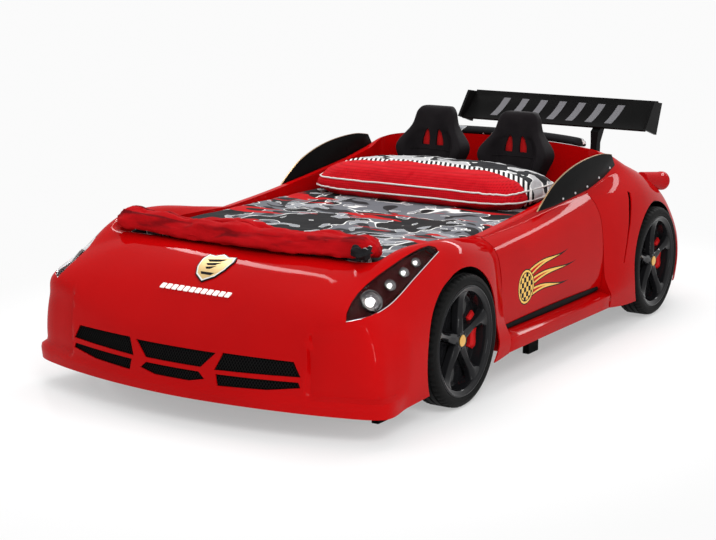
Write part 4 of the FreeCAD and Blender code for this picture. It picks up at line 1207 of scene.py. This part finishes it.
def make_headlamps():
    """An edge line, bowls darkened with painted shade, and lit bulbs over the frame's lamp housings."""
    # The dark red patches on the black housings are painted reflection of the red body.
    housing = glossy("lamp black, painted red reflection", (0.004, 0.004, 0.004), (0.085, 0.006, 0.006))
    dress(housing, "headlamp_housing_left", "headlamp_housing_right")
    edge = [front_point(*LAMP_OUTLINE[k]) + LAMP_WAY * 0.0008 for k in (0, 10, 9, 8, 7, 6)]
    rim = round_line("headlamp_edge_left", smooth_path(edge), 0.0013)
    finish_pair(rim, metal("lamp chrome", (0.80, 0.80, 0.82), 0.14), "reflector")
    # The bowls' metal is darkened: painted shade for the dark inside the lamp.
    shaded_bowl_look = metal("lamp bowl, painted shade", (0.20, 0.19, 0.19), 0.2)
    light_look = glowing("lamp light", (1.0, 0.97, 0.92), 1.1)
    for hand, side in SIDES:
        way = Vector((side * LAMP_WAY.x, LAMP_WAY.y, LAMP_WAY.z))
        bowls = []
        lights = []
        for x, y, z, radius in LAMP_BOWLS:
            place = front_point(side * x, y, z) - way * 0.008
            sizes = [(along * radius, across * radius) for along, across in DISH]
            bowls.append(net_sheet("dish", rings_along(place, way, sizes, 40), closed=True))
            base = place - way * radius * 0.5
            lights.append(tube("bulb", base, base + way * radius * 0.42, radius * 0.42, radius * 0.28, 28))
        bowls = smooth(join("lamp_bowls_" + hand, bowls), 50)
        finish(bowls, shaded_bowl_look, "reflector", "headlamp_reflectors_" + hand)
        finish(join("lamp_lights_" + hand, lights), light_look, "reflector")


def make_tail_lamps():
    pod = glossy("tail lamp red", (0.50, 0.006, 0.008), (0.30, 0.004, 0.005), 0.12)
    for hand, side in SIDES:
        start = Vector((side * 0.470, WELL_REAR + 0.318, 0.464))
        rows = rings_along(start, Vector((side * 0.215, 0.97, -0.116)), POD_RINGS, 56)
        lamp = smooth(net_sheet("tail_lamp_pod_" + hand, rows, closed=True), 35)
        finish(lamp, pod, "tail_red", "tail_lamp_" + hand)


# ---------------------------------------------------------------- bedding

MATTRESS_HALF = 0.448
MATTRESS_LENGTH = 1.496
MATTRESS_LOW = 0.2905
MATTRESS_HIGH = 0.4295
# Share of the length, and how far the corners are drawn in.
MATTRESS_ROWS = [(0.0, 0.55), (0.012, 0.2), (0.05, 0.0), (0.5, 0.0), (0.95, 0.0), (0.988, 0.2),
                 (1.0, 0.55)]
DUVET_HALF = 0.447
DUVET_LENGTH = 1.494
DUVET_FOOT_Z = 0.4304

PILLOW_CENTRE = Vector((0, WELL_REAR - 0.383, COVER_Z))
PILLOW_HALF_WIDTH = 0.405
PILLOW_HALF_DEPTH = 0.220
PILLOW_HEIGHT = 0.110
# Its remesh size, how far its filling may move a point, and how the filling is simulated.
PILLOW_VOXEL = 0.007
PILLOW_CAP = 0.012
FILLING_STEPS = 18
FILLING = {"quality": 4, "mass": 0.2, "tension_stiffness": 12, "bending_stiffness": 0.3,
           "use_pressure": True, "uniform_pressure_force": 3.0}
# Share of the height, reach, and sharpness of the corners.
PILLOW_RINGS = [(0.0, 0.86, 0.5), (0.04, 0.95, 0.42), (0.16, 1.0, 0.36), (0.30, 1.005, 0.34),
                (0.46, 0.985, 0.38), (0.64, 0.92, 0.46), (0.80, 0.80, 0.56), (0.92, 0.60, 0.66),
                (0.98, 0.36, 0.8)]

# The folded blanket's section in millimetres: y from the well's front, and height.
BLANKET_SECTION = [(-38, 0), (6, 0), (48, 0), (62, 16), (58, 32), (50, 44), (42, 50), (30, 60),
                   (18, 59), (8, 52), (2, 53), (-4, 60), (-16, 60), (-28, 52), (-38, 42), (-46, 30),
                   (-49, 18), (-48, 10)]
BLANKET_HALF = 0.449

# Height share, width share, how far the wings stand forward and depth, both in millimetres.
SEAT_RINGS = [(0, 0.70, 78, 62), (0.22, 0.80, 84, 56), (0.42, 1.0, 96, 52), (0.56, 0.94, 84, 50),
              (0.74, 0.64, 62, 52), (0.92, 0.56, 56, 54), (1.0, 0.42, 44, 46)]
SEAT_SLOT = [(13, 0.49), (44, 0.49), (43, 0.56), (34, 0.66), (24, 0.71), (17, 0.68), (13, 0.58)]
SEAT_OFFSET = 0.168
SEAT_BACK_Y = WELL_REAR - 0.072
SEAT_HALF_WIDTH = 0.143
SEAT_HEIGHT = 0.274


def wrinkled(obj, depth, size, seed):
    """Moves the points along their normals by noise of a given size along each axis,
    except where they lie on what is below."""
    floor = min(v.co.z for v in obj.data.vertices) + 0.002
    normals = [v.normal.copy() for v in obj.data.vertices]
    for vertex, normal in zip(obj.data.vertices, normals):
        if vertex.co.z > floor:
            place = Vector([c * k for c, k in zip(vertex.co, size)]) + Vector((seed, seed * 0.7, 0))
            vertex.co += normal * depth * noise.fractal(place, 0.8, 2.1, 4)
    return obj


def plumped(obj):
    """Fills a closed cover with cloth simulation; no point moves further than the cap."""
    apply_modifiers(modify(obj, "REMESH", mode="VOXEL", voxel_size=PILLOW_VOXEL))
    start = [v.co.copy() for v in obj.data.vertices]
    filling = modify(obj, "CLOTH").modifiers[0]
    for key, value in FILLING.items():
        setattr(filling.settings, key, value)
    filling.settings.effector_weights.gravity = 0
    filling.collision_settings.use_self_collision = False
    for step in range(1, FILLING_STEPS + 1):
        bpy.context.scene.frame_set(step)
    apply_modifiers(obj)
    for vertex, origin in zip(obj.data.vertices, start):
        move = vertex.co - origin
        if move.length > PILLOW_CAP:
            vertex.co = origin + move.normalized() * PILLOW_CAP
    bpy.context.scene.frame_set(1)
    return obj


def on_cover(obj, aim, lift):
    """The point of a cover that is closest to an aim, lifted a little."""
    _, hit, normal, _ = obj.closest_point_on_mesh(aim)
    return hit + normal * lift


def make_mattress(look):
    rows = []
    for share, drop in MATTRESS_ROWS:
        y = WELL_FRONT + 0.007 + share * MATTRESS_LENGTH
        x = MATTRESS_HALF * (1 - 0.05 * drop)
        low = MATTRESS_LOW + 0.02 * drop
        high = MATTRESS_HIGH - 0.02 * drop
        corners = [(-x, low + 0.01), (-x, high - 0.012), (-x + 0.014, high), (0, high),
                   (x - 0.014, high), (x, high - 0.012), (x, low + 0.01), (x - 0.014, low), (0, low),
                   (-x + 0.014, low)]
        rows.append([Vector((a, y, b)) for a, b in corners])
    mattress = bevelled(net_sheet("mattress_cover", rows, closed=True), 0.006, 2, 40)
    finish_soft(smooth(mattress, 50), look, "mattress_white", 0.9, "mattress")


def closed_below(bm):
    """Takes a sheet's border straight down to the duvet's foot, and closes it there."""
    border = [edge for edge in bm.edges if edge.is_boundary]
    made = bmesh.ops.extrude_edge_only(bm, edges=border)["geom"]
    for part in made:
        if isinstance(part, bmesh.types.BMVert):
            part.co.z = DUVET_FOOT_Z
    bmesh.ops.holes_fill(bm, edges=[edge for edge in bm.edges if edge.is_boundary], sides=0)
    bmesh.ops.recalc_face_normals(bm, faces=bm.faces)


def make_duvet(look):
    """A thin quilt over the mattress, its top rippled and its hem rounded."""
    rows = []
    steps_y = 90
    steps_x = 60
    for i in range(steps_y + 1):
        y = WELL_FRONT + 0.008 + DUVET_LENGTH * i / steps_y
        row = []
        for j in range(steps_x + 1):
            x = DUVET_HALF * (2 * j / steps_x - 1)
            edge = min(min(i, steps_y - i) * DUVET_LENGTH / steps_y, DUVET_HALF - abs(x))
            rise = 0.0225 * math.sqrt(max(0.02, min(1.0, edge / 0.02)))
            open_top = ramp(y, -0.85, -0.80) * (1 - ramp(y, -0.06, -0.01))
            lump = abs(noise.fractal(Vector((x * 5, y * 7, 1.3)), 1.0, 2.0, 3))
            rise -= 0.011 * open_top * lump * min(1, edge / 0.05)
            row.append(Vector((x, y, 0.4306 + rise)))
        rows.append(row)
    duvet = edit_mesh(net_sheet("duvet_cover", rows), closed_below)
    finish_soft(smooth(duvet, 50), look, "print_grey", 0.3, "duvet")


def pillow_point(angle, share, reach, sharp):
    """A point round the pillow, whose long sides draw in a little between the corners."""
    c = math.cos(angle)
    s = math.sin(angle)
    x = math.copysign(abs(c) ** sharp, c)
    y = math.copysign(abs(s) ** sharp, s)
    pinch = 1 - 0.05 * (1 - abs(x)) * abs(y) ** 6
    return PILLOW_CENTRE + Vector((x * PILLOW_HALF_WIDTH * reach,
                                   y * PILLOW_HALF_DEPTH * reach * pinch, share * PILLOW_HEIGHT))


def make_pillow(look, piping):
    """A crowned pillow with drawn-in sides, pointed corners and two rows of piping."""
    rows = [[pillow_point(math.tau * (k + 0.5) / 48, *ring_shape) for k in range(48)]
            for ring_shape in PILLOW_RINGS]
    pillow = net_sheet("pillow_cover", refined(rows), closed=True)
    wrinkled(subdivided(plumped(pillow)), 0.005, (9, 9, 9), 3.1)
    for vertex in pillow.data.vertices:
        vertex.co.z = max(vertex.co.z, COVER_Z)
    finish_soft(smooth(pillow, 70), look, "fabric_red", 0.7, "pillow")
    for name, share, reach in (("low", 0.20, 1.009), ("high", 0.56, 0.968)):
        aims = [pillow_point(math.tau * (k + 0.5) / 96, share, reach, 0.35) for k in range(97)]
        path = [on_cover(pillow, aim, 0.0008) for aim in aims]
        cord = round_line("pillow_piping_" + name, path, 0.0028)
        finish(cord, piping, "fabric_red", body="bedding")


def make_blanket(look):
    """A blanket folded into a loose roll over the foot of the bed, with layered folds."""
    rows = []
    steps = 72
    for k in range(steps + 1):
        share = k / steps
        along = share * 2 - 1
        x = along * BLANKET_HALF
        sway = 7 * math.sin(share * 9.0)
        swell = 1 + 0.09 * math.sin(share * 17.0) + 0.05 * math.sin(share * 41)
        end = 1 - 0.35 * max(0.0, abs(along) - 0.94) / 0.06
        lift = 13 * along ** 4
        row = []
        for i, (y, z) in enumerate(BLANKET_SECTION):
            fold = noise.noise(Vector((x * 12, i * 0.55, 4.0))) * 3.5 if z > 6 else 0
            place = front_point(0, y * end + sway, 0)
            row.append(Vector((x, place.y, COVER_Z + (lift + z * swell * end + fold) / 1000)))
        rows.append(row)
    blanket = wrinkled(subdivided(net_sheet("blanket_fold", rows, closed=True)), 0.010, (6, 34, 34), 7.7)
    finish_soft(smooth(blanket, 75), look, "fabric_red", 0.4, "blanket")


def make_knot(look):
    """The gathered corner at the roll's end, where the print's face shows."""
    rows = []
    middle = Vector((0.424, WELL_FRONT - 0.034, COVER_Z + 0.030))
    for k in range(17):
        share = k / 16
        wide = math.sqrt(max(0.0004, 1 - (2 * share - 1) ** 2))
        row = []
        for i in range(32):
            t = math.tau * i / 32
            pleat = 1 + 0.22 * math.sin(t * 5 + share * 4)
            row.append(middle + Vector(((share - 0.5) * 0.060, math.cos(t) * 0.026 * wide * pleat,
                                        math.sin(t) * 0.020 * wide * pleat)))
        rows.append(row)
    knot = wrinkled(subdivided(net_sheet("blanket_knot", rows, closed=True)), 0.008, (40, 40, 40), 2.4)
    finish_soft(smooth(knot, 70), look, "print_grey", 0.5)


def seat_slot(middle, hand, y, depth):
    outline = [(middle + hand * a / 1000, COVER_Z + b * SEAT_HEIGHT) for a, b in SEAT_SLOT]
    return prism_along_y("slot", outline, y, depth)


def make_seat(hand, side, leather, red):
    """A small bucket seat of foam with wings, a narrow head, two slots and a seam."""
    middle = side * SEAT_OFFSET
    rows = []
    for rise, width, wing, depth in SEAT_RINGS:
        half = [(0.82, 0), (1, -depth * 0.45), (0.93, -wing), (0.72, -wing * 0.98), (0.5, -depth)]
        section = [(-0.82, 0)] + half + [(-a, b) for a, b in half[:0:-1]]
        rows.append([Vector((middle + SEAT_HALF_WIDTH * width * a,
                             SEAT_BACK_Y + rise * 0.026 + b / 1000,
                             COVER_Z + rise * SEAT_HEIGHT)) for a, b in section])
    seat = net_sheet("seat_cushion_" + hand, refined(rows), closed=True)
    subdivided(bevelled(seat, 0.008, 3, 40))
    cut(seat, [seat_slot(middle, s, SEAT_BACK_Y - 0.09, 0.2) for s in (1, -1)])
    finish_soft(smooth(seat, 45), leather, "seat_black", 0.9, "seat_" + hand)
    path = []
    for k in range(61):
        share = k / 30 - 1
        rise = 0.46 - 0.40 * max(0.0, abs(share) - 0.30) / 0.70
        reach = math.copysign(min(abs(share) / 0.30, 1.0) ** 0.8, share) * (0.060 + 0.030 * (0.46 - rise))
        aim = Vector((middle + reach, SEAT_BACK_Y - 0.075, COVER_Z + rise * SEAT_HEIGHT))
        path.append(on_cover(seat, aim, 0.0004))
    finish(round_line("seat_seam_" + hand, path, 0.0016), leather, "seat_black", body="bedding")
    fillings = [seat_slot(middle, s, SEAT_BACK_Y - 0.026, 0.026) for s in (1, -1)]
    finish(join("seat_filling_" + hand, fillings), red, "fabric_red", "seat_slots_" + hand, body="bedding")


def make_bedding():
    make_mattress(cloth("mattress ticking", (0.72, 0.72, 0.70), (0.62, 0.62, 0.60)))
    make_duvet(printed("duvet print"))
    make_pillow(pillow_cloth(), cloth("piping", (0.75, 0.74, 0.72), (0.6, 0.6, 0.58)))
    make_blanket(blanket_cloth())
    make_knot(printed("knot print", 1.7))
    leather = seat_leather()
    red = cloth("slot red", (0.5, 0.01, 0.012), (0.35, 0.008, 0.008))
    for hand, side in SIDES:
        make_seat(hand, side, leather, red)


# ---------------------------------------------------------------- the whole bed

def dress_frame(steel, satin):
    """Materials for the frame's own pieces that stay in view."""
    # The boards and feet are near-black as painted shade, so that under the body they read as the shadow
    # there.
    dress(satin_black("board black, painted shade", 0.5), "side_board_left", "side_board_right", "foot_board",
          "head_board", "tail_board", "bed_feet")
    dress(wood("slat wood", (0.62, 0.47, 0.30), (0.50, 0.36, 0.21), 0), "slats")
    dress(wood("ledger wood", (0.58, 0.43, 0.27), (0.44, 0.31, 0.18), 1), "slat_ledger_left",
          "slat_ledger_right")
    dress(steel, "frame_bolts", "power_inlet")
    dress(satin, "sill_batten_left", "sill_batten_right", "switch_housing")
    dress(satin_black("rocker black", 0.25), "switch_rocker")
    dress(glowing("hood led", (0.72, 0.70, 0.68), 0.55), "hood_leds")


def main():
    make_camera()
    make_studio()
    paint = glossy("body red", RED, DARK_RED)
    satin = satin_black()
    steel = metal("steel", (0.55, 0.55, 0.56), 0.3)
    make_front(paint)
    make_sides(paint)
    make_duct_trim(satin)
    make_flare_walls(paint)
    rear_net = make_rear(paint, satin)
    make_bolster(rear_net, printed("bolster print", 3.0))
    make_arch_liners(satin)
    make_wheels()
    make_windows(steel)
    make_spoiler()
    make_headlamps()
    make_tail_lamps()
    make_bedding()
    dress_frame(steel, satin)


main()
